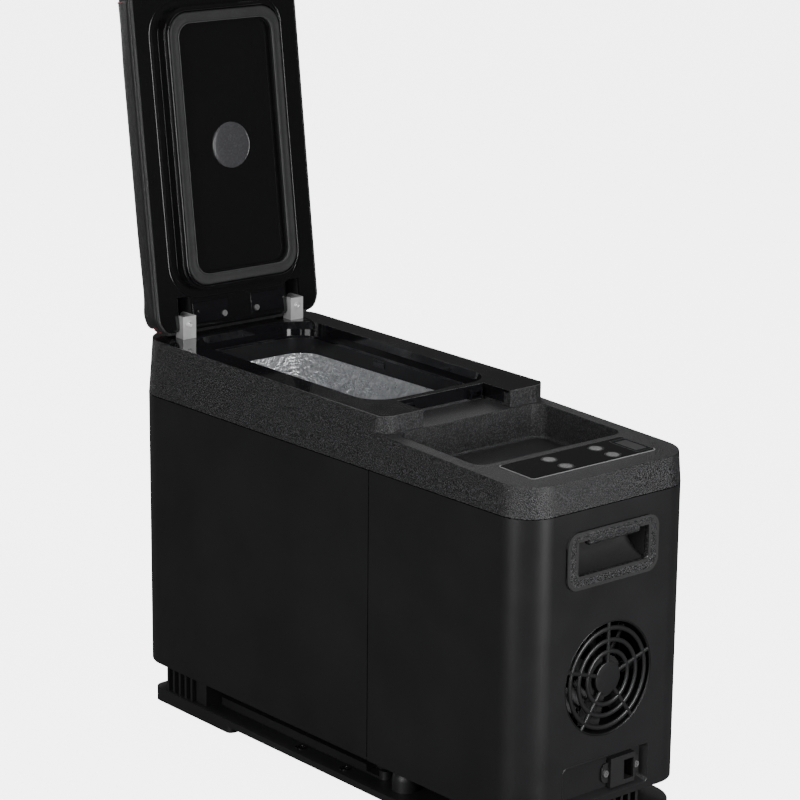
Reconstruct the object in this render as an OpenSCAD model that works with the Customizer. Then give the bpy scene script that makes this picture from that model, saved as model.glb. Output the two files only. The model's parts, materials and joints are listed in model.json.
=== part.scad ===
// Console cooler fridge: a cabinet with a compressor bay in front, an insulated tub behind it,
// a padded lid hinged at the rear, and a ribbed mounting base under it.
// Millimetres, +Z up. The origin is on the floor under the middle of the cabinet; the front faces -Y.

/* [Cabinet] */
// Width of the cabinet
cab_w = 198; // [190:1:210]
// Length of the cabinet, front to back
cab_l = 550; // [540:1:580]
// Height of the side panels
cab_h = 268.5; // [250:0.5:290]
// Height of the cabinet's underside above the floor
cab_z = 39; // [36:1:50]
// Radius of the front upright corners
front_r = 32; // [26:1:36]
// Radius of the rear upright corners
rear_r = 36; // [28:1:38]
// Thickness of the cabinet panels
wall = 2; // [1.5:0.5:3]
// Length of the front cover that wraps the compressor bay
bay_l = 200; // [190:1:210]

/* [Top frame] */
// Height of the rear rim above the side panels
rim_h = 53.1; // [50:0.1:58]
// Height of the lower deck above the side panels, at the notch
deck_h = 34.6; // [30:0.1:38]
// Slope of the lower deck, in degrees
deck_slope = 2.2; // [0:0.1:4]
// Forward slope of the rim, in degrees
rim_slope = 0.65; // [0:0.05:1.2]
// Inward draft of the frame's outer sides
frame_draft = 3.2; // [2:0.1:4]
// Half width of the latch notch in the front of the rim
notch_hw = 51; // [48:1:54]
// Front end of the raised rim
prong_y = -91; // [-94:1:-88]
// Back wall of the latch notch
notch_y = -55; // [-58:1:-52]

/* [Opening and tub] */
// Half width of the opening at the rim
open_hw = 71; // [68:0.5:73]
// Front edge of the opening
open_y0 = -48; // [-50:1:-44]
// Back edge of the opening
open_y1 = 228; // [224:1:230]
// Corner radius of the opening
open_r = 28; // [20:1:30]
// Depth of the sealing ledge below the rim
ledge_d = 10.8; // [10:0.1:12]
// Half width of the tub
tub_hw = 63; // [60:1:64]
// Front wall of the tub
tub_y0 = -35; // [-37:1:-33]
// Back wall of the tub
tub_y1 = 217; // [215:1:219]
// Inside floor of the tub above the ground
tub_floor = 71; // [66:1:90]
// Corner radius of the tub
tub_r = 24; // [18:1:28]

/* [Lid] */
// Half width of the padded cover
lid_hw = 96.5; // [90:0.5:98]
// Thickness of the lid above its liner
lid_t = 34; // [30:1:40]
// Angle that the open lid leans back past vertical
lean = 7.2; // [0:0.1:15]
// Height of the hinge pin above the rim
pin_rise = 15.4; // [15:0.1:17]
// Distance of the hinge pin from the back face of the opening
pin_back = 21.4; // [20:0.1:24]
// Height of the plug with its seal below the liner
plug_h = 13.3; // [12:0.1:13.5]
// Radius of the hinge pin
pin_r = 2.5; // [2:0.1:3]

/* [Front fittings] */
// Height of the fan's centre above the floor
fan_z = 152; // [140:1:160]
// Radius of the fan grille
fan_r = 51; // [46:1:54]
// Half width of the carrying handle's frame
handle_hw = 53; // [50:1:56]
// Lower edge of the handle's frame
handle_z0 = 239; // [234:1:242]
// Upper edge of the handle's frame
handle_z1 = 289.5; // [286:0.5:292]
// Diameter of a control button
button_d = 14.8; // [12:0.2:16]

/* [Base] */
// Half width of the base flange
base_hw = 100; // [98:1:104]
// Front end of the base
base_y0 = -275; // [-278:1:-272]
// Back end of the base
base_y1 = 250; // [246:1:256]
// Height of the base flange's top above the floor
flange_z = 15; // [14:0.5:18]

/* [Hidden] */
$fn = 64;

seam_z = cab_z + cab_h;              // joint between the panels and the top frame
hw = cab_w / 2;
front_y = -cab_l / 2;
back_y = cab_l / 2;
bay_y = front_y + bay_l;             // joint between the front cover and the rear shell
pin_y = open_y1 + pin_back;          // hinge axis
pin_z = seam_z + rim_h + pin_rise;
rim_z = pin_z - pin_rise;            // rim plane, in the level frame that is tilted about the pin
ledge_z = rim_z - ledge_d;
liner_z = pin_z - 12.5;              // underside of the closed lid, level
collar_z = seam_z + 24;              // top of the metal tub
skin = 3;                            // wall of the top frame
bezel_t = 2.5;
bolt_x = 88;                         // holes that bolt the base to a floor
bolt_y = 32;
bolt_r = 2.75;
screw_seat = 11;                     // height of the base screws' heads
facing_z = rim_z - 12;                // lower edge of the gloss facing of the notch
facing_h = 11.5;                      // and its height
tub_t = 1.2;
plug_hw = open_hw - 1.8;
plug_y = (open_y0 + open_y1) / 2 + 0.4;
plug_hl = 132.5;
seal_hw = 65.7;
seal_hl = 129;
seal_w = 11.3;
strap_x = 64.6;                      // middle of each hinge bracket
strap_w = 15;
fit = 0.1;
black = "#1b1b1d";
satin = "#232326";
gloss = "#0c0c0e";
metal = "#c8cacc";
copper = "#b87333";
panel_y = -231.3;                    // middle of the control panel
panel_hw = 72;
panel_hl = 21.7;
latch_y = -66;                       // pivot of the latch, with the lid closed
latch_z = liner_z + 8.5;
grip_top = 287.4;
dc_x = 22.2;                         // middle of the power inlet
dc_z = 62.6;
buttons = [[-24, 10.3], [-24, -10.3], [30.5, 10.3], [30.5, -10.3]];

// ---- shared shapes -------------------------------------------------------------------------

// A flat rounded rectangle from y0 to y1, with its own radius at each end.
module plan(w2, y0, y1, r0, r1) {
    square_part(w2, y0 + r0, y1 - r1);
    square_part(w2 - r0, y0, y0 + r0 + 0.01);
    square_part(w2 - r1, y1 - r1 - 0.01, y1);
    for (s = [-1, 1]) {
        translate([s * (w2 - r0), y0 + r0]) circle(r0);
        translate([s * (w2 - r1), y1 - r1]) circle(r1);
    }
}

module square_part(w2, y0, y1) {
    translate([-w2, y0]) square([2 * w2, y1 - y0]);
}

// An upright prism on that outline.
module slab(w2, y0, y1, r0, r1, z0, z1) {
    translate([0, 0, z0]) linear_extrude(z1 - z0) plan(w2, y0, y1, r0, r1);
}

// A block given by its lowest and highest corners.
module block(a, b) {
    translate(a) cube(b - a);
}

// A block and its mirror image across the middle plane.
module block_pair(a, b) {
    for (m = [0, 1]) mirror([m, 0, 0]) block(a, b);
}

// A cylinder along X or Y, starting at the point p.
module rod_x(p, r, l) {
    translate(p) rotate([0, 90, 0]) cylinder(r = r, h = l);
}

module rod_y(p, r, l) {
    translate(p) rotate([-90, 0, 0]) cylinder(r = r, h = l);
}

// A pan-head screw whose head rests on the point p; its shank runs down -Z.
module screw(p, head_r, shank_r, l) {
    translate(p) {
        difference() {
            cylinder(r = head_r, h = head_r * 0.55);
            for (a = [0, 90]) rotate(a) translate([-head_r * 0.55, -0.35, head_r * 0.25]) cube([head_r * 1.1, 0.7, 5]);
        }
        translate([0, 0, -l]) cylinder(r = shank_r, h = l + 0.01);
    }
}

// Turns children about the hinge axis by an angle.
module about_pin(angle) {
    translate([0, pin_y, pin_z]) rotate([angle, 0, 0]) translate([0, -pin_y, -pin_z]) children();
}

// The rim and its opening lean forward a little; so does the closed lid.
module tilted() {
    about_pin(rim_slope) children();
}

// Lid parts are drawn closed and level, then shown open.
module opened() {
    about_pin(-90 - lean) children();
}

// Height of the deck at y.
function deck_z(y) = seam_z + deck_h + (y + 75) * tan(deck_slope);

// Turns children that are drawn on z = 0 at the origin so that they lie on the deck at y.
module on_deck(y) {
    translate([0, y, deck_z(y)]) rotate([deck_slope, 0, 0]) children();
}

// A bent tube is made of straight runs with a ball at each bend.
module tube_path(points, r) {
    for (i = [0:len(points) - 2]) {
        run = points[i + 1] - points[i];
        translate(points[i]) rotate([0, acos(run[2] / norm(run)), atan2(run[1], run[0])])
            cylinder(r = r, h = norm(run), $fn = 20);
    }
    for (i = [1:len(points) - 2]) translate(points[i]) sphere(r = r * 1.06, $fn = 24);
}

// ---- base ----------------------------------------------------------------------------------

module at_base_screws() {
    for (x = [-62, 62], y = [-206, 214]) translate([x, y, 0]) children();
}

module base_plate() {
    color(black) difference() {
        union() {
            slab(base_hw, base_y0, base_y1, 38, 12, 8.5, flange_z);
            slab(base_hw, base_y0, base_y0 + 125, 38, 6, 2, 9);
            slab(base_hw, base_y1 - 125, base_y1, 6, 12, 2, 9);
            slab(80, -78, 168, 6, 6, 9, flange_z + 8);
            slab(58, -246, -77, 6, 6, 9, flange_z + 8);
        }
        block_pair([68, -70, flange_z + 2], [90, -52, flange_z + 12]);
        for (x = [-bolt_x, bolt_x], y = [-bolt_y, bolt_y]) translate([x, y, -1]) cylinder(r = bolt_r, h = 30);
        at_base_screws() translate([0, 0, -1]) cylinder(r = 2.6, h = 30);
        at_base_screws() translate([0, 0, -1]) cylinder(r = 5.4, h = screw_seat + 1);
    }
}

module base_risers() {
    fin_y = [188.5, 198, 207.5, 217, 226.5];
    fin_x = [-52, -43, -34, -25, -16, 16, 25, 34, 43, 52];
    color(black) {
        for (m = [0, 1]) mirror([m, 0, 0]) {
            block([66, 170, flange_z], [94, 186, cab_z]);
            difference() {
                block([56, 186, flange_z], [69, 231, cab_z]);
                at_base_screws() cylinder(r = 2.6, h = 60);
            }
            for (y = fin_y) block([69, y, flange_z], [97, y + 3, cab_z]);
            difference() {
                block([59, -214, flange_z], [84, -198, cab_z]);
                at_base_screws() cylinder(r = 2.6, h = 60);
            }
            block([84, -226, flange_z], [90, -186, cab_z]);
        }
        block([-56, -250, flange_z], [56, -247, cab_z]);
        for (x = fin_x) block([x - 1.5, -262, flange_z], [x + 1.5, -250, cab_z]);
    }
}

module foot_pads() {
    color("#111111") for (x = [-82, 82], y = [-226, -170, 152, 226])
        translate([x, y, 0]) cylinder(r = 13, h = 2);
}

module base_posts() {
    color("#2b2b2e") for (x = [-76, 76]) translate([x, -102, flange_z]) {
        cylinder(r = 8, h = 17);
        translate([0, 0, 17]) cylinder(r1 = 8, r2 = 6, h = 3, $fn = 64);
        cylinder(r = 4.5, h = cab_z - flange_z);
    }
}

module base_screws() {
    color(metal) at_base_screws() translate([0, 0, screw_seat]) {
        cylinder(r = 2.5, h = cab_z - screw_seat + 6);
        translate([0, 0, -1.9]) cylinder(r = 5, h = 1.9);
    }
}

// ---- cabinet -------------------------------------------------------------------------------

module bottom_pan() {
    color(satin) difference() {
        slab(hw - wall, front_y + wall, back_y - wall, front_r - wall, rear_r - wall, cab_z, cab_z + 12);
        slab(hw - wall - 2, front_y + wall + 2, back_y - wall - 2, front_r - wall - 2, rear_r - wall - 2,
            cab_z + 2.5, cab_z + 20);
        at_base_screws() cylinder(r = 2.6, h = 90);
        for (i = [-3:3], s = [-1, 1]) block([s * 34 - 22, -118 + i * 9, 0], [s * 34 + 22, -114 + i * 9, 60]);
        block([-56, front_y, 0], [56, front_y + 12, 90]);
    }
}

module panel_ring() {
    difference() {
        slab(hw, front_y, back_y, front_r, rear_r, cab_z, seam_z);
        slab(hw - wall, front_y + wall, back_y - wall, front_r - wall, rear_r - wall, 0, 400);
    }
}

module cabinet_shell() {
    color(satin) difference() {
        panel_ring();
        block([-200, -300, 0], [200, bay_y + 0.25, 400]);
    }
}

module compressor_cover() {
    color(satin) difference() {
        panel_ring();
        block([-200, bay_y - 0.25, 0], [200, 300, 400]);
        rod_y([0, front_y - 1, fan_z], fan_r, 10);
        translate([0, front_y + 5, (handle_z0 + handle_z1) / 2]) rotate([90, 0, 0])
            linear_extrude(10) plan(handle_hw - 4, -21.2, 21.2, 8, 8);
        block([-30.5, front_y - 1, 280], [30.5, front_y + 5, grip_top + 0.4]);
        translate([0, front_y + 5, 63.2]) rotate([90, 0, 0])
            linear_extrude(10) plan(51.2, -18.6, 18.6, 4, 4);
    }
}

// The grille is moulded with the cover; it is kept as its own piece because it is a flat, slotted disc.
module fan_grille() {
    ring_r = [23.5, 33.5, 44];
    ring_w = 4.2;
    spoke_w = 4;
    color(satin) translate([0, front_y, fan_z]) rotate([-90, 0, 0]) difference() {
        cylinder(r = fan_r, h = 3);
        difference() {
            translate([0, 0, -1]) cylinder(r = fan_r - 1.2, h = 9);
            translate([0, 0, -2]) cylinder(r = 14.5, h = 12);
            for (r = ring_r) translate([0, 0, -2]) difference() {
                cylinder(r = r + ring_w / 2, h = 12);
                translate([0, 0, -1]) cylinder(r = r - ring_w / 2, h = 14);
            }
            for (i = [0:4]) rotate(i * 72 - 90) translate([0, -spoke_w / 2, -2]) cube([fan_r + 2, spoke_w, 12]);
        }
    }
}

// ---- top frame -----------------------------------------------------------------------------

// Outer form of the frame, drawn in by the draft towards its top.
module frame_body(inset) {
    hull() {
        slab(hw - inset, front_y + inset, back_y - inset, front_r - inset, rear_r - inset, seam_z, seam_z + 0.2);
        slab(hw - inset - frame_draft, front_y + inset + frame_draft, back_y - inset - frame_draft,
            front_r - inset, rear_r - inset, seam_z + 58, seam_z + 58.2);
    }
}

// The latch notch in the front of the raised rim, widened by gap.
module notch_plan(gap) {
    translate([-notch_hw - gap, prong_y - 10]) square([2 * (notch_hw + gap), notch_y - prong_y + 10 + gap]);
}

// Outline of the raised rim.
module rim_plan() {
    difference() {
        plan(hw - 1.5, prong_y, back_y + 20, 16, 30);
        notch_plan(0);
    }
}

// Outline of the gloss rim plate, set in from the frame's sides; gap widens its seat.
module bezel_plan(gap) {
    in = frame_draft + 1.6 - gap;
    difference() {
        intersection() {
            plan(hw - 1.5, prong_y + 1.6 - gap, back_y + 20, 15, 30);
            plan(hw - in, front_y, back_y - in, 4, rear_r - 1.6);
        }
        notch_plan(0);
    }
}

module above_rim() {
    tilted() block([-200, -400, rim_z], [200, 400, rim_z + 80]);
}

module above_deck(drop) {
    translate([0, -75, seam_z + deck_h - drop]) rotate([deck_slope, 0, 0]) block([-200, -300, 0], [200, 400, 90]);
}

module frame_outside() {
    difference() {
        intersection() {
            frame_body(0);
            translate([0, 0, seam_z - 1]) linear_extrude(90) rim_plan();
        }
        above_rim();
    }
    difference() {
        frame_body(0);
        above_deck(0);
    }
}

// Ribs behind the opening that the hinge brackets are screwed to.
module bracket_ribs() {
    difference() {
        block_pair([strap_x - 7, 224, rim_z - 29], [95.6, 230.9, rim_z - 14]);
        for (s = [-1, 1], z = [-18, -25]) rod_y([s * strap_x, 220, rim_z + z], 1.75, 20);
    }
}

module top_frame() {
    tray_floor = seam_z + 1.8;
    color(black) bracket_ribs();
    color(black) difference() {
        frame_outside();
        // hollow under the deck, left open around the tray's bucket
        difference() {
            intersection() {
                frame_body(skin);
                block([-200, -400, seam_z - 1], [200, notch_y - 3, 400]);
            }
            above_deck(skin);
            slab(87.5, -204, -90, 14, 14, 0, 400);
        }
        // hollow under the rim and the passage for the tub
        difference() {
            intersection() {
                frame_body(skin);
                block([-200, notch_y + 5, seam_z - 1], [200, 400, 400]);
            }
            tilted() block([-200, -400, rim_z - bezel_t - skin], [200, 400, rim_z + 80]);
        }
        tilted() translate([0, 0, rim_z - bezel_t]) linear_extrude(50) bezel_plan(fit);
        slab(open_hw + 3.2, open_y0 - 3.6, open_y1 + 3.6, open_r + 3, open_r + 3, seam_z - 5, 500);
        // notch walls are faced by the bezel
        tilted() translate([0, 0, facing_z - fit]) linear_extrude(facing_h) notch_facing(2.5);
        // tray
        slab(84.5, -201, -93, 12, 12, tray_floor, 500);
        // slots for the hinge brackets
        block_pair([strap_x - 7.7, 229, rim_z - 13], [strap_x + 7.7, 244.1, 400]);
        // seat for the control panel, its window and its buttons
        on_deck(panel_y) slab(panel_hw + fit, -panel_hl - fit, panel_hl + fit, 4, 4, -1.6, 20);
        on_deck(panel_y) slab(panel_hw - 1.2, -panel_hl + 2.6, panel_hl - 2.6, 3, 3, -20, 20);
    }
}

module notch_facing(gap) {
    difference() {
        notch_plan(gap);
        translate([-100, prong_y - 20]) square([200, 28]);
    }
}

module opening_bezel() {
    color(gloss) tilted() difference() {
        union() {
            difference() {
                translate([0, 0, rim_z - bezel_t]) linear_extrude(bezel_t) bezel_plan(0);
                slab(open_hw, open_y0, open_y1, open_r, open_r, 0, 400);
            }
            difference() {
                slab(open_hw + 2.9, open_y0 - 2.9, open_y1 + 2.9, open_r + 2.9, open_r + 2.9, ledge_z - 2.5, rim_z - 0.5);
                slab(open_hw, open_y0, open_y1, open_r, open_r, ledge_z, 400);
                slab(tub_hw, tub_y0, tub_y1, tub_r, tub_r, 0, 400);
            }
            translate([0, 0, facing_z]) linear_extrude(facing_h) difference() {
                notch_facing(2.4);
                notch_plan(0);
            }
            // catch blocks
            block_pair([32, notch_y - 5, facing_z], [46, notch_y + 0.5, rim_z - 2.6]);
        }
        // windows that the latch hooks enter
        block_pair([33.5, notch_y - 7, rim_z - 10.6], [44.5, notch_y, rim_z - 5.4]);
        // slots for the hinge brackets
        block_pair([strap_x - 7.7, 230.2, 300], [strap_x + 7.7, 244.6, 400]);
    }
}

module liner_collar() {
    color(gloss) difference() {
        slab(tub_hw + 4, tub_y0 - 4, tub_y1 + 4, tub_r + 4, tub_r + 4, collar_z, 400);
        slab(tub_hw, tub_y0, tub_y1, tub_r, tub_r, 0, 500);
        tilted() block([-200, -400, ledge_z - 2.5], [200, 400, 500]);
        block([tub_hw - 1, 96, collar_z + 5], [tub_hw + 9, 112, collar_z + 13]);
    }
}

module liner_tub() {
    color(metal) difference() {
        slab(tub_hw + tub_t, tub_y0 - tub_t, tub_y1 + tub_t, tub_r + tub_t, tub_r + tub_t,
            tub_floor - tub_t, collar_z);
        slab(tub_hw, tub_y0, tub_y1, tub_r, tub_r, tub_floor, 500);
    }
}

module lamp_lens() {
    color("#d8dde0") translate([tub_hw, 104, collar_z + 9]) intersection() {
        block([-1.2, -7.8, -3.8], [3.9, 7.8, 3.8]);
        translate([9, 0, 0]) rotate([90, 0, 0]) translate([0, 0, -9]) cylinder(r = 10.2, h = 18);
    }
}

module tub_probe() {
    color("#303030") rod_y([tub_hw + tub_t + 3.5, 60, 100], 3, 30);
}

module insulation_foam() {
    color("#e8dfb8") difference() {
        slab(hw - wall - 0.3, -60.5, back_y - wall - 0.3, 3, rear_r - wall - 0.3, cab_z + 12.2, seam_z - 0.5);
        slab(tub_hw + 8.5, tub_y0 - 8.5, tub_y1 + 8.5, tub_r + 8, tub_r + 8, tub_floor - tub_t - 1, 500);
    }
}

module coil_turn(z) {
    w = tub_hw + tub_t + 3.4;
    y0 = tub_y0 - tub_t - 3.4;
    y1 = tub_y1 + tub_t + 3.4;
    r = tub_r + tub_t + 3.4;
    for (x = [-w, w]) rod_y([x, y0 + r, z], 3, y1 - y0 - 2 * r);
    for (y = [y0, y1]) rod_x([-w + r, y, z], 3, 2 * (w - r));
    for (c = [[1, 1, 0], [-1, 1, 90], [-1, -1, 180], [1, -1, 270]])
        translate([c[0] * (w - r), c[1] > 0 ? y1 - r : y0 + r, z]) rotate(c[2])
            rotate_extrude(angle = 90) translate([r, 0]) circle(3, $fn = 32);
}

module evaporator_coil() {
    color(copper) {
        for (i = [0:3]) coil_turn(140 + i * 42);
        for (i = [0:2]) translate([(i % 2 == 0 ? 1 : -1) * (tub_hw + tub_t + 3.4), 40, 140 + i * 42])
            cylinder(r = 2.5, h = 42);
    }
}

// ---- compressor bay ------------------------------------------------------------------------

module partition() {
    color("#9a9da0") block([-hw + wall + 0.3, -64, cab_z + 12.2], [hw - wall - 0.3, -61, seam_z - 0.5]);
}

module compressor() {
    color("#17181a") {
        translate([0, -138, 0]) rotate_extrude() {
            translate([0, 62]) square([54, 84]);
            difference() {
                translate([0, 146]) circle(54);
                translate([-60, 80]) square([60, 140]);
                translate([-1, 80]) square([80, 66]);
                translate([-1, 176]) square([80, 60]);
            }
        }
        difference() {
            slab(58, -190, -86, 10, 10, 58, 61);
            for (x = [-48, 48], y = [-180, -96]) translate([x, y, 50]) cylinder(r = 4.2, h = 20);
        }
        translate([0, -138, 60.5]) cylinder(r = 50, h = 2);
        translate([30, -138, 174]) cylinder(r = 4, h = 8);
        translate([-30, -138, 174]) cylinder(r = 4, h = 8);
    }
}

module compressor_mounts() {
    color("#222222") for (x = [-48, 48], y = [-180, -96]) translate([x, y, 0]) difference() {
        union() {
            translate([0, 0, cab_z + 2.5]) cylinder(r = 9, h = 58 - cab_z - 2.5);
            translate([0, 0, 58]) cylinder(r = 4.1, h = 3);
            translate([0, 0, 61]) cylinder(r = 7, h = 3);
        }
        cylinder(r = 2.1, h = 90);
    }
}

module compressor_bolts() {
    color(metal) for (x = [-48, 48], y = [-180, -96]) translate([x, y, cab_z + 2.5]) {
        cylinder(r = 2, h = 64 - cab_z - 2.5);
        translate([0, 0, 64 - cab_z - 2.5]) cylinder(r = 4, h = 3.2, $fn = 6);
    }
}

condenser_rows = [for (i = [0:4]) 108 + i * 22];

module condenser_fins() {
    color("#b9bcc0") for (i = [0:19]) translate([-57 + i * 6, 0, 0]) rotate([90, 0, 90]) linear_extrude(0.7)
        difference() {
            translate([-242, 96]) square([27, 112]);
            for (z = condenser_rows, y = [-235, -222]) translate([y, z]) circle(3.6);
        }
}

module condenser_tubes() {
    color(copper) {
        for (z = condenser_rows, y = [-235, -222]) rod_x([-61, y, z], 3.5, 122);
        for (z = condenser_rows) translate([61, -228.5, z]) rotate([0, 0, -90])
            rotate_extrude(angle = 180) translate([6.5, 0]) circle(3.5, $fn = 24);
        for (i = [0:3]) translate([-61, i % 2 == 0 ? -235 : -222, condenser_rows[i] + 11]) rotate([90, -90, 0])
            rotate_extrude(angle = 180) translate([11, 0]) circle(3.5, $fn = 24);
    }
}

module filter_drier() {
    color(copper) translate([-82, -150, 150]) {
        cylinder(r = 9, h = 70);
        translate([0, 0, 70]) cylinder(r1 = 9, r2 = 3, h = 8);
        translate([0, 0, -8]) cylinder(r1 = 3, r2 = 9, h = 8);
    }
}

module refrigerant_lines() {
    color(copper) {
        tube_path([[-30, -138, 182], [-30, -138, 214], [-76, -180, 214], [-78, -205, 200], [-78, -235, 196],
            [-61.3, -235, 196]], 3);
        tube_path([[-82, -150, 229], [-82, -150, 250], [-82, -100, 250], [-70, -76, 250],
            [-70, -64.3, 250]], 2.4);
        tube_path([[30, -138, 182], [30, -138, 240], [60, -90, 240], [60, -64.3, 240]], 3);
        tube_path([[-82, -150, 141], [-82, -150, 96], [-78, -205, 96], [-78, -222, 108], [-61.3, -222, 108]], 2.4);
    }
}

module fan_frame() {
    color("#141414") difference() {
        union() {
            difference() {
                translate([-54, front_y + 3.2, fan_z - 54]) cube([108, 24, 108]);
                rod_y([0, front_y, fan_z], 50, 60);
            }
            translate([0, front_y + 22.2, fan_z]) rotate([-90, 0, 0]) {
                cylinder(r = 20, h = 5);
                for (i = [0:3]) rotate(45 + i * 90) translate([0, -3, 0]) cube([53, 6, 5]);
            }
            rod_y([0, front_y + 12, fan_z], 2.4, 12);
        }
        for (x = [-46, 46], z = [-46, 46]) rod_y([x, front_y, fan_z + z], 2.2, 60);
    }
}

module fan_rotor() {
    color("#1d1d20") translate([0, front_y + 5.5, fan_z]) rotate([-90, 0, 0]) difference() {
        union() {
            cylinder(r = 19, h = 15.5);
            for (i = [0:6]) rotate(i * 360 / 7) translate([17, 0, 7.5]) rotate([38, 0, 0])
                translate([0, -9, -0.8]) cube([30, 18, 1.6]);
        }
        translate([0, 0, 6.3]) cylinder(r = 2.46, h = 12);
    }
}

module fan_screws() {
    color(metal) for (x = [-46, 46], z = [-46, 46]) translate([x, front_y + 27.2, fan_z + z])
        rotate([-90, 0, 0]) screw([0, 0, 0], 4, 2, 24.9);
}

module controller_case() {
    color("#2a2a2a") difference() {
        block([74, -186, 70], [96.4, -84, 196]);
        block([72, -184, 72], [94.4, -86, 194]);
    }
}

module controller_board() {
    color("#1f5c36") block([86, -183, 74], [87.6, -87, 192]);
    color("#202020") {
        block([76, -175, 80], [86, -150, 104]);
        block([80, -140, 84], [86, -100, 100]);
        for (z = [120, 142]) rod_x([75, -120, z], 8, 11);
        block([82, -176, 120], [86, -150, 180]);
    }
}

module wire_harness() {
    color("#a01818") {
        tube_path([[dc_x + 7, -236, 62], [60, -230, 62], [80, -204, 88], [84, -188, 106]], 1.8);
        tube_path([[84, -188, 172], [80, -204, 196], [80, -214, 296], [52, -228, 327]], 1.8);
        tube_path([[54.2, -252, 132], [78, -246, 132], [80, -208, 136], [84, -188, 142]], 1.4);
    }
}

// ---- handle and power inlet ----------------------------------------------------------------

// Hollow of the handle: a scoop that curls up behind the grip.
module handle_hollow(grow) {
    top = 281;
    intersection() {
        rod_x([-41 - grow, front_y - 2, top], 30 + grow, 82 + 2 * grow);
        block([-41 - grow, front_y - 10, 200], [41 + grow, front_y + 60, top + grow]);
    }
    block([-41 - grow, front_y + 9 - grow, top - 12], [41 + grow, front_y + 28 + grow, top + 10 + grow]);
}

module handle_housing() {
    mid_z = (handle_z0 + handle_z1) / 2;
    half = (handle_z1 - handle_z0) / 2;
    color(black) difference() {
        union() {
            translate([0, front_y, mid_z]) rotate([90, 0, 0]) linear_extrude(2.2) plan(handle_hw, -half, half, 12, 12);
            translate([0, front_y + 4, mid_z]) rotate([90, 0, 0]) linear_extrude(4.2)
                plan(handle_hw - 4.1, -21.1, 21.1, 8, 8);
            intersection() {
                handle_hollow(2);
                block([-60, front_y, 200], [60, front_y + 60, 400]);
            }
        }
        handle_hollow(0);
        block([-30.4, front_y - 10, 280.6], [30.4, front_y + 9, grip_top + 0.3]);
    }
}

module handle_grip() {
    color(black) difference() {
        union() {
            block([-30.2, front_y - 3.2, 281], [30.2, front_y + 6.8, grip_top]);
            rod_x([-30.2, front_y + 1.8, 281], 5, 60.4);
        }
        block([-40, front_y - 10, grip_top - 1.4], [40, front_y - 2.2, grip_top + 2]);
    }
}

module dc_panel() {
    color(satin) difference() {
        translate([0, 0, 63.2]) hull() {
            translate([0, front_y + 0.3, 0]) rotate([90, 0, 0]) linear_extrude(0.3) plan(51, -18.4, 18.4, 4, 4);
            translate([0, front_y + 9, 0]) rotate([90, 0, 0]) linear_extrude(0.3) plan(49.6, -17, 17, 4, 4);
        }
        translate([0, 0, 63.2]) hull() {
            translate([0, front_y - 1, 0]) rotate([90, 0, 0]) linear_extrude(0.2) plan(50.4, -17.8, 17.8, 3, 3);
            translate([0, front_y + 6.5, 0]) rotate([90, 0, 0]) linear_extrude(0.2) plan(46.5, -13.6, 16, 3, 3);
        }
        block([dc_x - 15, front_y + 2, 48.6], [dc_x + 14.9, front_y + 12, 76.4]);
        for (x = [-18.1, 18.1]) rod_y([dc_x + x, front_y + 2, dc_z], 1.7, 20);
    }
}

module dc_inlet() {
    color("#101011") difference() {
        union() {
            translate([dc_x, front_y + 6.3, dc_z]) rotate([90, 0, 0]) linear_extrude(1.8) plan(22.5, -9, 9, 6, 6);
            block([dc_x - 14.6, front_y + 1, 49], [dc_x + 14.5, front_y + 30, 76]);
        }
        block([dc_x + 1.4, front_y - 1, 53], [dc_x + 12.6, front_y + 22, 71]);
        for (x = [-18.1, 18.1]) rod_y([dc_x + x, front_y, dc_z], 1.7, 20);
    }
}

module dc_pins() {
    color("#c9a24a") for (z = [58, 66]) {
        rod_y([dc_x + 7, front_y + 9, z], 1.3, 13);
        rod_y([dc_x + 7, front_y + 30, z], 1.5, 8);
    }
}

module dc_screws() {
    color(metal) for (x = [-18.1, 18.1]) translate([dc_x + x, front_y + 4.5, dc_z]) rotate([90, 0, 0])
        screw([0, 0, 0], 3, 1.6, 12);
}

// ---- control panel -------------------------------------------------------------------------

module control_panel() {
    color(gloss) on_deck(panel_y) difference() {
        slab(panel_hw, -panel_hl, panel_hl, 3.5, 3.5, -1.6, 0.4);
        for (b = buttons) translate([b[0], b[1], -5]) cylinder(d = button_d + 0.5, h = 10);
        slab_at(62, 0, 9.1, 16.6, -5, 5);
    }
}

module slab_at(x, y, w2, l2, z0, z1) {
    block([x - w2, y - l2, z0], [x + w2, y + l2, z1]);
}

module display_window() {
    color("#20262b", 0.6) on_deck(panel_y) slab_at(62, 0, 9, 16.5, -1.4, 0.3);
}

module control_board() {
    color("#1f5c36") on_deck(panel_y) {
        slab_at(2, 0, 66, 17, -6.6, -5);
        slab_at(62, 0, 8.5, 14, -5, -2);
        for (b = buttons) translate([b[0], b[1], -5]) cylinder(r = 3, h = 0.9);
    }
}

module button(i) {
    color("#8d9092") on_deck(panel_y) translate([buttons[i][0], buttons[i][1], 0]) {
        translate([0, 0, -2.6]) cylinder(d = button_d, h = 3.3);
        translate([0, 0, -2.8]) cylinder(d = button_d + 2.2, h = 1);
    }
}

module button_power() { button(0); }

module button_mode() { button(1); }

module button_up() { button(2); }

module button_down() { button(3); }

// ---- hinge ---------------------------------------------------------------------------------

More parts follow.
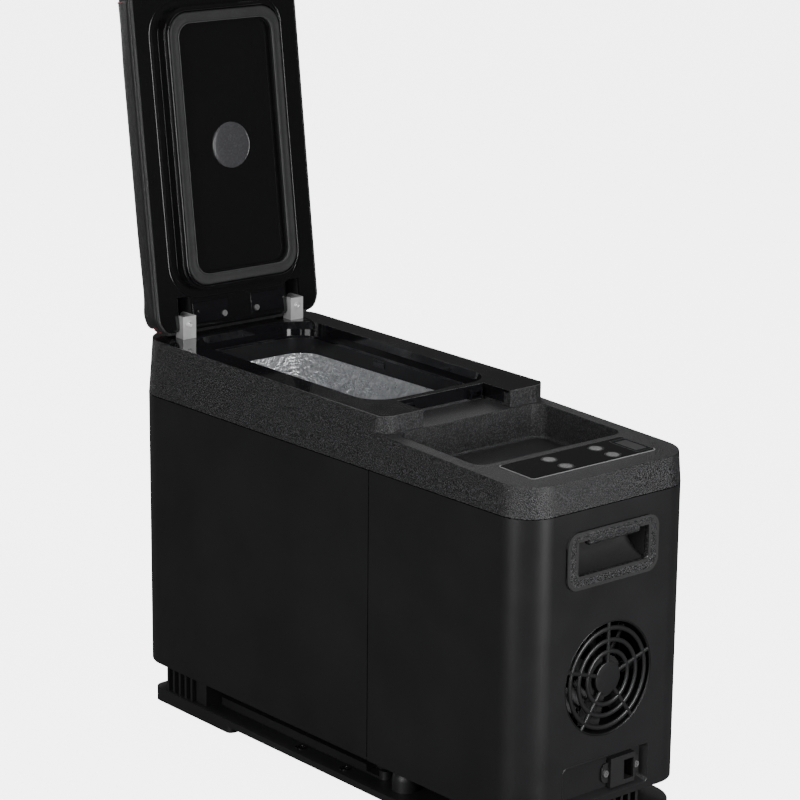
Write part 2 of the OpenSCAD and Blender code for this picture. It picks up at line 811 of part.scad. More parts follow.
module hinge_bracket(side) {
    x0 = strap_w / 2;
    top = pin_z + 6;
    color(metal) translate([side * strap_x, 0, 0]) difference() {
        union() {
            block([-x0, 231, rim_z - 30], [x0, 232.5, top]);
            for (x = [-x0, x0 - 1.5]) {
                block([x, 231, rim_z - 12], [x + 1.5, 243, top]);
                block([x, 231, pin_z - 5], [x + 1.5, 249.4, top]);
                rod_x([x, pin_y, pin_z], 6, 1.5);
            }
        }
        rod_x([-x0 - 1, pin_y, pin_z], pin_r + 0.06, strap_w + 2);
        rod_y([0, 229, pin_z - 2], 2.4, 6);
        for (z = [-18, -25]) rod_y([0, 229, rim_z + z], 1.8, 6);
    }
}

module hinge_bracket_left() { hinge_bracket(-1); }

module hinge_bracket_right() { hinge_bracket(1); }

module hinge_screws() {
    color(metal) for (s = [-1, 1], z = [-18, -25]) translate([s * strap_x, 232.5, rim_z + z])
        rotate([-90, 0, 0]) screw([0, 0, 0], 3.2, 1.7, 7);
}

module hinge_pin(side) {
    color(metal) opened() mirror([side < 0 ? 1 : 0, 0, 0]) rod_x([42, pin_y, pin_z], pin_r, 37);
}

module hinge_pin_left() { hinge_pin(-1); }

module hinge_pin_right() { hinge_pin(1); }

module pin_cover(side) {
    color(gloss) opened() mirror([side < 0 ? 1 : 0, 0, 0]) difference() {
        block([13.6, pin_y - 13.9, liner_z], [55.6, pin_y + 4.9, liner_z + 2]);
        translate([19.3, pin_y, liner_z - 1]) cylinder(r = 1.6, h = 9);
        block([49, pin_y - 7, liner_z - 1], [53, pin_y - 5, liner_z + 1]);
    }
}

module pin_cover_left() { pin_cover(-1); }

module pin_cover_right() { pin_cover(1); }

module pin_cover_screws() {
    color(metal) opened() for (s = [-1, 1]) translate([s * 19.3, pin_y, liner_z]) rotate([180, 0, 0])
        screw([0, 0, 0], 2.8, 1.5, 8);
}

// ---- lid -----------------------------------------------------------------------------------

lid_y0 = -92;
lid_y1 = pin_y + 14.5;

module bracket_pocket() {
    block_pair([strap_x - 8.6, pin_y - 21.4, liner_z - 20], [strap_x + 8.6, lid_y1 + 10, liner_z + 22]);
}

// Room for the rim as the lid's back lower edge swings past it.
module swing_room() {
    difference() {
        block([-lid_hw - 10, pin_y, liner_z - 10], [lid_hw + 10, lid_y1 + 10, pin_z]);
        rod_x([-lid_hw - 20, pin_y, pin_z], pin_rise - 0.4, 2 * lid_hw + 40);
    }
}

module latch_pocket() {
    block([-48, -84, liner_z - 5], [48, notch_y - 4, liner_z + 18]);
}

module lid_liner() {
    color(gloss) opened() difference() {
        union() {
            slab(lid_hw - 3, lid_y0 + 3, lid_y1 - 3, 16, 16, liner_z, liner_z + 2.2);
            slab(plug_hw, plug_y - plug_hl, plug_y + plug_hl, open_r - 2, open_r - 2, liner_z - 10, liner_z + 1);
            // bosses that hold the hinge pins and the latch pin
            block_pair([30, pin_y - 6, liner_z + 2], [55.8, pin_y + 6, liner_z + 18]);
            block_pair([73.4, pin_y - 6, liner_z + 2], [79.5, pin_y + 6, liner_z + 18]);
            block_pair([16, pin_y - 4, liner_z + 2], [23, pin_y + 4, liner_z + 12]);
            block_pair([48, -72, liner_z + 2], [53, -59.5, liner_z + 16]);
        }
        slab(50, plug_y - 113, plug_y + 113, 18, 18, liner_z - 5, liner_z + 30);
        slab(seal_hw - seal_w - 2, plug_y - seal_hl + seal_w + 2, plug_y + seal_hl - seal_w - 2, 12, 12,
            liner_z - 20, liner_z - 7);
        difference() {
            slab(seal_hw + 0.4, plug_y - seal_hl - 0.4, plug_y + seal_hl + 0.4, 22, 22, liner_z - 20, liner_z - 7);
            slab(seal_hw - seal_w - 0.2, plug_y - seal_hl + seal_w + 0.2, plug_y + seal_hl - seal_w - 0.2, 14, 14,
                liner_z - 30, liner_z);
        }
        bracket_pocket();
        latch_pocket();
        swing_room();
        block_pair([13.4, pin_y - 14.1, liner_z - 1], [55.9, pin_y + 5.1, liner_z + 2]);
        for (s = [-1, 1]) translate([s * 19.3, pin_y, liner_z]) cylinder(r = 1.5, h = 12);
        for (m = [0, 1]) mirror([m, 0, 0]) rod_x([41.9, pin_y, pin_z], pin_r, 37.2);
        rod_x([-51, latch_y, latch_z], 1.5, 102);
    }
}

module lid_core() {
    color("#e8dfb8") opened() {
        slab(86, -56, 222, 12, 12, liner_z + 2.4, liner_z + 24);
        slab(49.6, plug_y - 112.6, plug_y + 112.6, 17, 17, liner_z - 4.8, liner_z + 3);
    }
}

module lid_cushion() {
    color("#161617") opened() difference() {
        cushion_body();
        slab(86.4, -56.4, 222.4, 12, 12, liner_z - 5, liner_z + 24.2);
        slab(lid_hw - 2.8, lid_y0 + 2.8, lid_y1 - 2.8, 16, 16, liner_z - 5, liner_z + 2.4);
        bracket_pocket();
        swing_room();
        block([-49, -84.5, liner_z - 5], [49, -56, liner_z + 18.4]);
        block_pair([48, -72.4, liner_z - 1], [53.4, -59, liner_z + 16.4]);
        block_pair([29.6, pin_y - 6.4, liner_z], [56.2, pin_y + 6.4, liner_z + 18.4]);
        block_pair([72, pin_y - 6.4, liner_z], [80, pin_y + 6.4, liner_z + 18.4]);
        block_pair([15.6, pin_y - 4.4, liner_z], [23.4, pin_y + 4.4, liner_z + 12.4]);
    }
}

// A block with rounded upright corners and a wide rounding along its top edge.
module cushion_body() {
    z0 = liner_z + 1;
    z1 = liner_z + lid_t;
    f = 14;
    steps = 4;
    hull() {
        slab(lid_hw, lid_y0, lid_y1, 20, 20, z0, z0 + 0.1);
        for (i = [0:steps]) {
            in = f * (1 - cos(i * 90 / steps));
            up = f * sin(i * 90 / steps);
            slab(lid_hw - in, lid_y0 + in, lid_y1 - in, 20 - in, 20 - in, z1 - f + up - 0.1, z1 - f + up);
        }
    }
}

module lid_gasket() {
    color("#55585a") opened() difference() {
        slab(seal_hw, plug_y - seal_hl, plug_y + seal_hl, 22, 22, liner_z - plug_h, liner_z - 7);
        slab(seal_hw - seal_w, plug_y - seal_hl + seal_w, plug_y + seal_hl - seal_w, 14, 14, liner_z - 20, liner_z);
    }
}

module lid_disc() {
    color("#7d8083", 0.8) opened() translate([0, plug_y, liner_z - 7]) rotate([180, 0, 0]) {
        cylinder(r = 21.8, h = 1);
        translate([0, 0, 1]) cylinder(r1 = 21.8, r2 = 20.4, h = 0.8);
    }
}

module latch_lever() {
    hook_z = rim_z - 9.9;
    plate_z = rim_z - 12.5;
    color(gloss) opened() difference() {
        union() {
            rod_x([-46, latch_y, latch_z], 4.2, 92);
            block([-46, latch_y - 4, plate_z], [46, latch_y - 1, latch_z]);
            block([-24, -88, plate_z], [24, latch_y - 2, plate_z + 3]);
            block([-24, -88, plate_z - 2], [24, -85.5, plate_z + 3]);
            block_pair([34, latch_y - 4, hook_z], [44, notch_y - 0.7, hook_z + 3.6]);
        }
        rod_x([-50, latch_y, latch_z], 1.56, 100);
        block([-12, latch_y - 9, latch_z - 7], [12, latch_y + 9, latch_z + 7]);
    }
}

module latch_pin() {
    color(metal) opened() rod_x([-50.9, latch_y, latch_z], 1.5, 101.8);
}

module latch_spring() {
    color(metal) opened() for (i = [0:7]) translate([-9.5 + i * 2.6, latch_y, latch_z]) rotate([0, 90, 0])
        rotate_extrude() translate([2.6, 0]) circle(0.6, $fn = 16);
}

// ---- assembly ------------------------------------------------------------------------------

base_plate();
base_risers();
foot_pads();
base_posts();
base_screws();
bottom_pan();
cabinet_shell();
compressor_cover();
fan_grille();
top_frame();
opening_bezel();
liner_collar();
liner_tub();
lamp_lens();
tub_probe();
insulation_foam();
evaporator_coil();
partition();
compressor();
compressor_mounts();
compressor_bolts();
condenser_fins();
condenser_tubes();
filter_drier();
refrigerant_lines();
fan_frame();
fan_rotor();
fan_screws();
controller_case();
controller_board();
wire_harness();
handle_housing();
handle_grip();
dc_panel();
dc_inlet();
dc_pins();
dc_screws();
control_panel();
display_window();
control_board();
button_power();
button_mode();
button_up();
button_down();
hinge_bracket_left();
hinge_bracket_right();
hinge_screws();
hinge_pin_left();
hinge_pin_right();
pin_cover_left();
pin_cover_right();
pin_cover_screws();
lid_liner();
lid_core();
lid_cushion();
lid_gasket();
lid_disc();
latch_lever();
latch_pin();
latch_spring();
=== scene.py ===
"""The looks of a console cooler fridge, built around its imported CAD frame. Metres, +Z up, front at -Y."""

import json
import math

import bmesh
import bpy
import numpy as np
from mathutils import Matrix, Vector, noise
from mathutils.bvhtree import BVHTree

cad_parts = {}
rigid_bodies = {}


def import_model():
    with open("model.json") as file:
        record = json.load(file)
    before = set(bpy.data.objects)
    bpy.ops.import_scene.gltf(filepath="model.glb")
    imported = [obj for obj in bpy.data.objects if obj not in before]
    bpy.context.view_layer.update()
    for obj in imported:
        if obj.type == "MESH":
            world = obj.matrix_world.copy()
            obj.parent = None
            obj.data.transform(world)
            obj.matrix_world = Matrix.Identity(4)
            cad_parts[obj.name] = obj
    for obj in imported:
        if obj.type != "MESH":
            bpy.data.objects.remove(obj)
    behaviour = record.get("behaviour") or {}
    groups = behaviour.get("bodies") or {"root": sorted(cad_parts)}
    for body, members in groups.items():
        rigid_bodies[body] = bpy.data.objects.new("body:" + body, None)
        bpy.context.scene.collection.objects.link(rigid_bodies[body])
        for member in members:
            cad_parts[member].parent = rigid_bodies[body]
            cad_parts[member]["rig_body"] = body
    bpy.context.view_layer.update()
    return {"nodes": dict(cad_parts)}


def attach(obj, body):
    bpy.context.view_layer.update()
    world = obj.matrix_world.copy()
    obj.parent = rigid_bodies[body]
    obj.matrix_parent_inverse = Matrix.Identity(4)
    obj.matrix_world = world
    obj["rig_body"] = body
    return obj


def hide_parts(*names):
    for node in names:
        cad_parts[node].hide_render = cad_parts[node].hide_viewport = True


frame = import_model()
MM = 0.001


# ---- camera, light and floor ----------------------------------------------------------------

CAMERA_AZIMUTH = -40.549
CAMERA_ELEVATION = 15.028
CAMERA_ROLL = 0.555
CAMERA_DISTANCE = 2.5356
CAMERA_TARGET = Vector((0, 0, 0.338))
CAMERA_LENS = 126.54
BACKDROP_GLOW = 5.0


def from_angles(azimuth, elevation):
    """Unit vector from the object towards a viewer at these angles, in degrees."""
    a, e = math.radians(azimuth), math.radians(elevation)
    return Vector((math.sin(a) * math.cos(e), -math.cos(a) * math.cos(e), math.sin(e)))


def make_camera():
    data = bpy.data.cameras.new("camera")
    data.lens = CAMERA_LENS
    data.sensor_width = 36
    data.clip_start = 0.05
    data.clip_end = 50
    camera = bpy.data.objects.new("camera", data)
    bpy.context.scene.collection.objects.link(camera)
    back = from_angles(CAMERA_AZIMUTH, CAMERA_ELEVATION)
    turn = (-back).to_track_quat("-Z", "Y").to_matrix().to_4x4()
    roll = Matrix.Rotation(math.radians(CAMERA_ROLL), 4, "Z")
    camera.matrix_world = Matrix.Translation(CAMERA_TARGET + back * CAMERA_DISTANCE) @ turn @ roll
    bpy.context.scene.camera = camera


def hung(name, data, azimuth, elevation, distance, target):
    """Places a light at a distance from its target and aims it there."""
    light = bpy.data.objects.new(name, data)
    bpy.context.scene.collection.objects.link(light)
    back = from_angles(azimuth, elevation)
    light.location = Vector(target) + back * distance
    light.rotation_euler = (-back).to_track_quat("-Z", "Y").to_euler()


def area_light(name, azimuth, elevation, distance, width, height, power, target=(0, 0, 0.3)):
    data = bpy.data.lights.new(name, "AREA")
    data.shape = "RECTANGLE"
    data.size = width
    data.size_y = height
    data.energy = power
    hung(name, data, azimuth, elevation, distance, target)


def spot_light(name, azimuth, elevation, distance, angle, power, target):
    data = bpy.data.lights.new(name, "SPOT")
    data.energy = power
    data.spot_size = math.radians(angle)
    data.spot_blend = 0.6
    data.shadow_soft_size = 0.12
    hung(name, data, azimuth, elevation, distance, target)


def seen_or_lit(tree, seen, lit):
    """A mix of two shaders: one for what the camera sees, one for the light that falls on the object."""
    path = tree.nodes.new("ShaderNodeLightPath")
    mix = tree.nodes.new("ShaderNodeMixShader")
    tree.links.new(path.outputs["Is Camera Ray"], mix.inputs["Fac"])
    tree.links.new(lit.outputs[0], mix.inputs[1])
    tree.links.new(seen.outputs[0], mix.inputs[2])
    return mix


def make_world():
    world = bpy.data.worlds.new("studio")
    world.use_nodes = True
    tree = world.node_tree
    lit = tree.nodes["Background"]
    lit.inputs["Color"].default_value = (1, 1, 1, 1)
    lit.inputs["Strength"].default_value = 0.05
    seen = tree.nodes.new("ShaderNodeBackground")
    seen.inputs["Color"].default_value = (1, 1, 1, 1)
    seen.inputs["Strength"].default_value = BACKDROP_GLOW
    mix = seen_or_lit(tree, seen, lit)
    tree.links.new(mix.outputs[0], tree.nodes["World Output"].inputs["Surface"])
    bpy.context.scene.world = world


def make_floor():
    bpy.ops.mesh.primitive_plane_add(size=24, location=(0, 0, -0.0005))
    floor = bpy.context.object
    floor.name = "floor"
    material = bpy.data.materials.new("floor")
    material.use_nodes = True
    tree = material.node_tree
    lit = tree.nodes["Principled BSDF"]
    lit.inputs["Base Color"].default_value = (0.1, 0.1, 0.1, 1)
    lit.inputs["Roughness"].default_value = 1.0
    glow = tree.nodes.new("ShaderNodeEmission")
    glow.inputs["Strength"].default_value = BACKDROP_GLOW
    paper = tree.nodes.new("ShaderNodeBsdfDiffuse")
    paper.inputs["Color"].default_value = (0.6, 0.6, 0.6, 1)
    seen = tree.nodes.new("ShaderNodeAddShader")
    tree.links.new(glow.outputs[0], seen.inputs[0])
    tree.links.new(paper.outputs[0], seen.inputs[1])
    mix = seen_or_lit(tree, seen, lit)
    tree.links.new(mix.outputs[0], tree.nodes["Material Output"].inputs["Surface"])
    floor.data.materials.append(material)


def make_studio():
    make_world()
    make_floor()
    area_light("overhead", 0, 88, 2.6, 4.0, 4.0, 27)
    area_light("left_softbox", -80, 12, 2.0, 0.8, 1.6, 26, (0, -0.12, 0.3))
    area_light("front_softbox", 7, 12, 2.2, 0.6, 1.6, 51, (-0.05, -0.1, 0.3))
    area_light("rear_softbox", 150, 35, 2.6, 1.2, 1.2, 9)
    area_light("rear_fill", 185, 12, 2.8, 1.0, 1.4, 12)
    area_light("corner_strip", -47, 13, 2.9, 0.16, 1.7, 6)
    spot_light("tub_fill", -20, 66, 1.2, 13, 31, (0, 0.09, 0.34))


# ---- materials ------------------------------------------------------------------------------


class Paint:
    """Builds one procedural material, node by node."""

    def __init__(self, name, color, roughness, metallic=0.0):
        self.material = bpy.data.materials.new(name)
        self.material.use_nodes = True
        self.tree = self.material.node_tree
        self.shader = self.tree.nodes["Principled BSDF"]
        self.shader.inputs["Base Color"].default_value = (*color, 1)
        self.shader.inputs["Roughness"].default_value = roughness
        self.shader.inputs["Metallic"].default_value = metallic
        self.place = self.add("ShaderNodeTexCoord").outputs["Object"]
        self.height = None

    def add(self, kind, **inputs):
        node = self.tree.nodes.new(kind)
        for key, value in inputs.items():
            socket = node.inputs[key.replace("_", " ")]
            if hasattr(value, "links"):
                self.tree.links.new(value, socket)
            else:
                socket.default_value = value
        return node

    def stretched(self, scale):
        """Texture place, scaled differently along each axis."""
        node = self.add("ShaderNodeMapping", Vector=self.place)
        node.inputs["Scale"].default_value = scale
        return node.outputs["Vector"]

    def noise(self, scale, detail=3.0, rough=0.55, place=None):
        node = self.add("ShaderNodeTexNoise", Scale=scale, Detail=detail, Roughness=rough)
        self.tree.links.new(place or self.place, node.inputs["Vector"])
        return node.outputs["Fac"]

    def cells(self, scale, feature="F1", place=None):
        node = self.add("ShaderNodeTexVoronoi", Scale=scale)
        node.feature = feature
        self.tree.links.new(place or self.place, node.inputs["Vector"])
        return node.outputs["Distance"]

    def ramp(self, value, low, high, to_low=0.0, to_high=1.0):
        node = self.add("ShaderNodeMapRange", Value=value)
        node.inputs["From Min"].default_value = low
        node.inputs["From Max"].default_value = high
        node.inputs["To Min"].default_value = to_low
        node.inputs["To Max"].default_value = to_high
        return node.outputs["Result"]

    def mix_color(self, factor, color_a, color_b):
        node = self.tree.nodes.new("ShaderNodeMix")
        node.data_type = "RGBA"
        self.tree.links.new(factor, node.inputs["Factor"])
        node.inputs["A"].default_value = (*color_a, 1)
        node.inputs["B"].default_value = (*color_b, 1)
        self.tree.links.new(node.outputs["Result"], self.shader.inputs["Base Color"])

    def roughness(self, value):
        self.tree.links.new(value, self.shader.inputs["Roughness"])

    def bump(self, value, distance, strength=1.0):
        node = self.add("ShaderNodeBump", Height=value, Distance=distance, Strength=strength)
        if self.height is not None:
            self.tree.links.new(self.height, node.inputs["Normal"])
        self.height = node.outputs["Normal"]
        self.tree.links.new(self.height, self.shader.inputs["Normal"])

    def set(self, **inputs):
        for key, value in inputs.items():
            self.shader.inputs[key.replace("_", " ")].default_value = value
        return self


def satin_plastic(name, color=(0.012, 0.012, 0.013), roughness=0.36):
    p = Paint(name, color, roughness)
    p.roughness(p.ramp(p.noise(30, 4), 0.3, 0.7, roughness - 0.03, roughness + 0.04))
    dark = tuple(0.85 * c for c in color)
    light = tuple(1.2 * c for c in color)
    p.mix_color(p.ramp(p.noise(9, 3), 0.35, 0.65), dark, light)
    p.bump(p.noise(900, 2), 0.00003)
    return p.material


def grained_plastic(name, color=(0.016, 0.016, 0.017), depth=0.00045):
    p = Paint(name, color, 0.42)
    grain = p.noise(950, 1.5, 0.6)
    pits = p.cells(1200)
    p.roughness(p.ramp(grain, 0.4, 0.62, 0.28, 0.55))
    p.mix_color(p.ramp(grain, 0.47, 0.64), tuple(0.45 * c for c in color), tuple(4.0 * c for c in color))
    p.bump(grain, depth)
    p.bump(pits, depth * 0.5)
    return p.material


def gloss_plastic(name, color=(0.006, 0.006, 0.007), roughness=0.07, coat=0.4):
    p = Paint(name, color, roughness)
    p.roughness(p.ramp(p.noise(18, 4), 0.35, 0.7, roughness, roughness + 0.05))
    p.mix_color(p.ramp(p.noise(700, 2), 0.45, 0.75), color, tuple(1.5 * c for c in color))
    p.bump(p.noise(60, 2), 0.00002)
    p.set(Coat_Weight=coat, Coat_Roughness=0.04)
    return p.material


def leather(name, color=(0.011, 0.011, 0.012)):
    p = Paint(name, color, 0.45)
    creases = p.cells(420, "DISTANCE_TO_EDGE")
    pores = p.noise(1500, 2)
    p.bump(p.ramp(creases, 0.0, 0.12), 0.00012)
    p.bump(pores, 0.00005)
    p.bump(p.noise(45, 3), 0.0006, 0.35)
    p.roughness(p.ramp(creases, 0.0, 0.25, 0.56, 0.38))
    p.mix_color(p.ramp(p.noise(26, 4), 0.35, 0.65), color, tuple(1.5 * c for c in color))
    p.set(Sheen_Weight=0.08, Sheen_Roughness=0.4)
    return p.material


def rubber(name, color, grain_depth=0.00012):
    p = Paint(name, color, 0.62)
    grain = p.noise(800, 3)
    p.mix_color(p.ramp(grain, 0.35, 0.68), tuple(0.6 * c for c in color), tuple(1.5 * c for c in color))
    p.roughness(p.ramp(p.noise(60, 3), 0.3, 0.7, 0.55, 0.72))
    p.bump(grain, grain_depth)
    return p.material


def joint_shadow(name):
    p = Paint(name, (0.001, 0.001, 0.001), 0.8)
    p.mix_color(p.ramp(p.noise(200, 2), 0.3, 0.7), (0.0008, 0.0008, 0.0008), (0.0014, 0.0014, 0.0014))
    p.set(Specular_IOR_Level=0.04)
    return p.material


def metal(name, color, roughness, streak=(1, 1, 1), depth=0.00002, metallic=1.0):
    p = Paint(name, color, roughness, metallic)
    brushed = p.noise(240, 4, 0.6, p.stretched(streak))
    p.roughness(p.ramp(brushed, 0.3, 0.7, roughness - 0.06, roughness + 0.1))
    p.mix_color(p.ramp(p.noise(70, 3), 0.3, 0.7), tuple(0.82 * c for c in color), color)
    p.bump(brushed, depth)
    return p.material


def hammered_metal(name):
    p = Paint(name, (0.8, 0.81, 0.82), 0.3, 0.9)
    ripple = p.noise(330, 2.0)
    p.bump(ripple, 0.0016)
    p.roughness(p.ramp(p.noise(120, 3), 0.3, 0.7, 0.24, 0.4))
    p.mix_color(p.ramp(p.noise(160, 3), 0.35, 0.65), (0.9, 0.91, 0.92), (0.7, 0.71, 0.73))
    return p.material


def foam(name):
    p = Paint(name, (0.8, 0.72, 0.48), 0.9)
    cells = p.cells(420)
    p.mix_color(p.ramp(cells, 0.1, 0.6), (0.66, 0.57, 0.34), (0.86, 0.79, 0.56))
    p.bump(cells, 0.0006)
    return p.material


def circuit_board(name):
    p = Paint(name, (0.03, 0.16, 0.07), 0.35)
    tracks = p.cells(260, place=p.stretched((1, 1, 0.3)))
    p.mix_color(p.ramp(tracks, 0.3, 0.34), (0.02, 0.13, 0.05), (0.05, 0.24, 0.1))
    p.bump(tracks, 0.00004)
    return p.material


def clear_plastic(name, color, weight, roughness=0.08):
    p = Paint(name, color, roughness)
    p.roughness(p.ramp(p.noise(25, 3), 0.3, 0.7, roughness, roughness + 0.05))
    p.bump(p.noise(90, 2), 0.00003)
    p.set(Transmission_Weight=weight, IOR=1.49)
    return p.material


satin = satin_plastic("satin_black")
base_plastic = satin_plastic("moulded_black", (0.014, 0.014, 0.015), 0.44)
grained = grained_plastic("grained_black")
gloss = gloss_plastic("gloss_black")
collar_gloss = gloss_plastic("collar_black", (0.006, 0.006, 0.007), 0.3, 0.05)
liner_gloss = gloss_plastic("liner_black", (0.005, 0.005, 0.0055), 0.1)
hide = leather("black_leather")
seal_rubber = rubber("seal_rubber", (0.010, 0.0103, 0.0106), 0.0002)
black_rubber = rubber("black_rubber", (0.02, 0.02, 0.02))
button_rubber = rubber("button_rubber", (0.1, 0.1, 0.103), 0.00004)
steel = metal("pressed_steel", (0.72, 0.72, 0.72), 0.38, (1, 1, 12), metallic=0.6)
zinc = metal("zinc_screws", (0.42, 0.42, 0.42), 0.3, metallic=0.8)
dark_steel = metal("dull_screws", (0.3, 0.3, 0.3), 0.34, metallic=0.8)
copper = metal("copper_tube", (0.85, 0.45, 0.26), 0.28)
brass = metal("plated_contacts", (0.85, 0.66, 0.3), 0.25)
coil_paint = satin_plastic("coil_paint", (0.02, 0.02, 0.02), 0.5)
galvanised = metal("galvanised_sheet", (0.56, 0.58, 0.6), 0.42)
tub_metal = hammered_metal("hammered_aluminium")
foam_yellow = foam("insulation")
board = circuit_board("circuit_board")
thread = rubber("red_thread", (0.42, 0.012, 0.012), 0.00006)
wire_skin = rubber("wire_insulation", (0.35, 0.02, 0.02), 0.00002)
smoked = gloss_plastic("smoked_window", (0.01, 0.012, 0.014), 0.06)
lens = clear_plastic("clear_lens", (0.04, 0.042, 0.045), 0.5, 0.14)
disc_plastic = gloss_plastic("disc_plastic", (0.047, 0.047, 0.051), 0.2)
scoop_plastic = satin_plastic("scoop_black", (0.034, 0.034, 0.035), 0.4)
# grey for the display screen, and for the light bead on the gasket's inner edge, which is a painted
# highlight line
frame_grey = satin_plastic("screen_grey_and_painted_highlight", (0.05, 0.05, 0.052), 0.4)
# light grey for the panel's front and near end edges: painted highlight
painted_edge_highlight = satin_plastic("painted_edge_highlight", (0.22, 0.22, 0.222), 0.4)
joint_black = joint_shadow("joint_black")
print_grey = rubber("printed_grey", (0.2, 0.2, 0.205), 0.00003)
fan_black = satin_plastic("fan_black", (0.004, 0.004, 0.004), 0.6)

NODE_LOOKS = {
    base_plastic: ["base_plate", "base_risers", "controller_case", "dc_inlet"],
    fan_black: ["fan_frame", "fan_rotor"],
    satin: ["cabinet_shell", "compressor_cover", "bottom_pan", "dc_panel", "fan_grille", "compressor"],
    grained: ["top_frame", "handle_housing", "handle_grip"],
    collar_gloss: ["liner_collar"],
    gloss: ["opening_bezel", "control_panel", "pin_cover_left", "pin_cover_right", "latch_lever",
            "base_posts", "tub_probe"],
    liner_gloss: ["lid_liner"],
    hide: ["lid_cushion"],
    seal_rubber: ["lid_gasket"],
    black_rubber: ["foot_pads", "compressor_mounts"],
    button_rubber: ["button_power", "button_mode", "button_up", "button_down"],
    steel: ["hinge_bracket_left", "hinge_bracket_right", "hinge_pin_left", "hinge_pin_right", "latch_pin"],
    zinc: ["base_screws", "hinge_screws", "fan_screws", "dc_screws", "latch_spring"],
    dark_steel: ["compressor_bolts", "pin_cover_screws"],
    copper: ["evaporator_coil", "filter_drier", "refrigerant_lines"],
    brass: ["dc_pins"],
    coil_paint: ["condenser_fins", "condenser_tubes"],
    galvanised: ["partition"],
    tub_metal: ["liner_tub"],
    foam_yellow: ["insulation_foam", "lid_core"],
    board: ["controller_board", "control_board"],
    wire_skin: ["wire_harness"],
    smoked: ["display_window"],
    lens: ["lamp_lens"],
    disc_plastic: ["lid_disc"],
}


LOOK_OF = {name: material for material, names in NODE_LOOKS.items() for name in names}


def paint_nodes():
    for name, material in LOOK_OF.items():
        slots = frame["nodes"][name].data.materials
        slots.clear()
        slots.append(material)


# ---- mesh helpers ---------------------------------------------------------------------------


def new_piece(name, mesh, material, body, replaced=()):
    """Links a mesh as a piece that rides on a CAD body."""
    piece = bpy.data.objects.new(name, mesh)
    bpy.context.scene.collection.objects.link(piece)
    mesh.materials.clear()
    mesh.materials.append(material)
    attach(piece, body)
    if replaced:
        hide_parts(*replaced)
    return piece


def from_bmesh(bm, name, material, body, replaced=(), smooth_below=40):
    """Makes a piece from a bmesh, smooth except across edges sharper than the given angle."""
    bmesh.ops.recalc_face_normals(bm, faces=bm.faces)
    limit = math.radians(smooth_below)
    for face in bm.faces:
        face.smooth = True
    for edge in bm.edges:
        edge.smooth = len(edge.link_faces) == 2 and edge.calc_face_angle(0) < limit
    mesh = bpy.data.meshes.new(name)
    bm.to_mesh(mesh)
    bm.free()
    piece = new_piece(name, mesh, material, body, replaced)
    weighted = piece.modifiers.new("normals", "WEIGHTED_NORMAL")
    weighted.keep_sharp = True
    return piece


def cad_copy(node):
    """The mesh of a CAD node, welded and with its flat faces whole again."""
    bm = bmesh.new()
    bm.from_mesh(frame["nodes"][node].data)
    bmesh.ops.remove_doubles(bm, verts=bm.verts, dist=2e-5)
    bmesh.ops.dissolve_limit(bm, angle_limit=math.radians(0.8), verts=bm.verts, edges=bm.edges)
    return bm


def round_edges(bm, width, segments=3, sharper_than=32, where=None):
    """Rounds the edges that turn by more than an angle, all or those whose middle passes a test."""
    limit = math.radians(sharper_than)
    chosen = []
    for edge in bm.edges:
        if len(edge.link_faces) == 2 and edge.calc_face_angle(0) > limit:
            middle = (edge.verts[0].co + edge.verts[1].co) / 2
            if where is None or where(middle, edge):
                chosen.append(edge)
    bmesh.ops.bevel(bm, geom=chosen, offset=width, offset_type="OFFSET", segments=segments, profile=0.5,
                    affect="EDGES", clamp_overlap=True)


def softened(node, width, segments=2, sharper_than=32):
    """Stands for a CAD node with the same form and rounded edges."""
    bm = cad_copy(node)
    round_edges(bm, width * MM, segments, sharper_than)
    body = frame["nodes"][node]["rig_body"]
    return from_bmesh(bm, node + "_finish", LOOK_OF[node], body, (node,))


EDGE_RADII = {
    "cabinet_shell": 1.0, "compressor_cover": 0.8, "opening_bezel": 1.0, "liner_collar": 0.4,
    "base_plate": 1.2, "base_risers": 0.8, "bottom_pan": 0.4, "hinge_bracket_left": 0.3,
    "hinge_bracket_right": 0.3, "pin_cover_left": 0.4, "pin_cover_right": 0.4, "control_panel": 0.3,
    "dc_inlet": 0.4, "dc_panel": 0.8, "latch_lever": 0.5,
    "foot_pads": 0.5, "controller_case": 0.8,
}


def finish_cad_nodes():
    for node, width in EDGE_RADII.items():
        softened(node, width)


# ---- shapes swept around rounded rectangles -------------------------------------------------

PIN = Vector((0, 0.2494, 0.376))
BRACKET_X = 0.0646
LID_LEAN = 97.2
LINER_Z = 0.3635
LID_HALF, LID_FRONT, LID_BACK = 0.0965, -0.092, 0.2639
PLUG_Y = 0.0904


def about_pin(degrees):
    """A turn about the lid's hinge pins."""
    turn = Matrix.Rotation(math.radians(degrees), 4, "X")
    return Matrix.Translation(PIN) @ turn @ Matrix.Translation(-PIN)


OPENED = about_pin(-LID_LEAN)
FACING_FRONT = Matrix.Rotation(math.radians(90), 4, "X")


def outline(half, y0, y1, r0, r1, steps=10):
    """Points of a rounded rectangle, with one corner radius at y0 and another at y1."""
    corners = (
        (half - r1, y1 - r1, r1, 0), (r1 - half, y1 - r1, r1, 90),
        (r0 - half, y0 + r0, r0, 180), (half - r0, y0 + r0, r0, 270),
    )
    points = []
    for x, y, r, start in corners:
        for i in range(steps + 1):
            a = math.radians(start + 90 * i / steps)
            points.append((x + r * math.cos(a), y + r * math.sin(a)))
    return points


def grown(shape, by):
    """The same rounded rectangle pushed outwards; negative draws it in."""
    half, y0, y1, r0, r1 = shape
    return (half + by, y0 - by, y1 + by, max(r0 + by, 0.0005), max(r1 + by, 0.0005))


def between(a, b, t):
    """The values a share t of the way from a to b."""
    return tuple(p + (q - p) * t for p, q in zip(a, b))


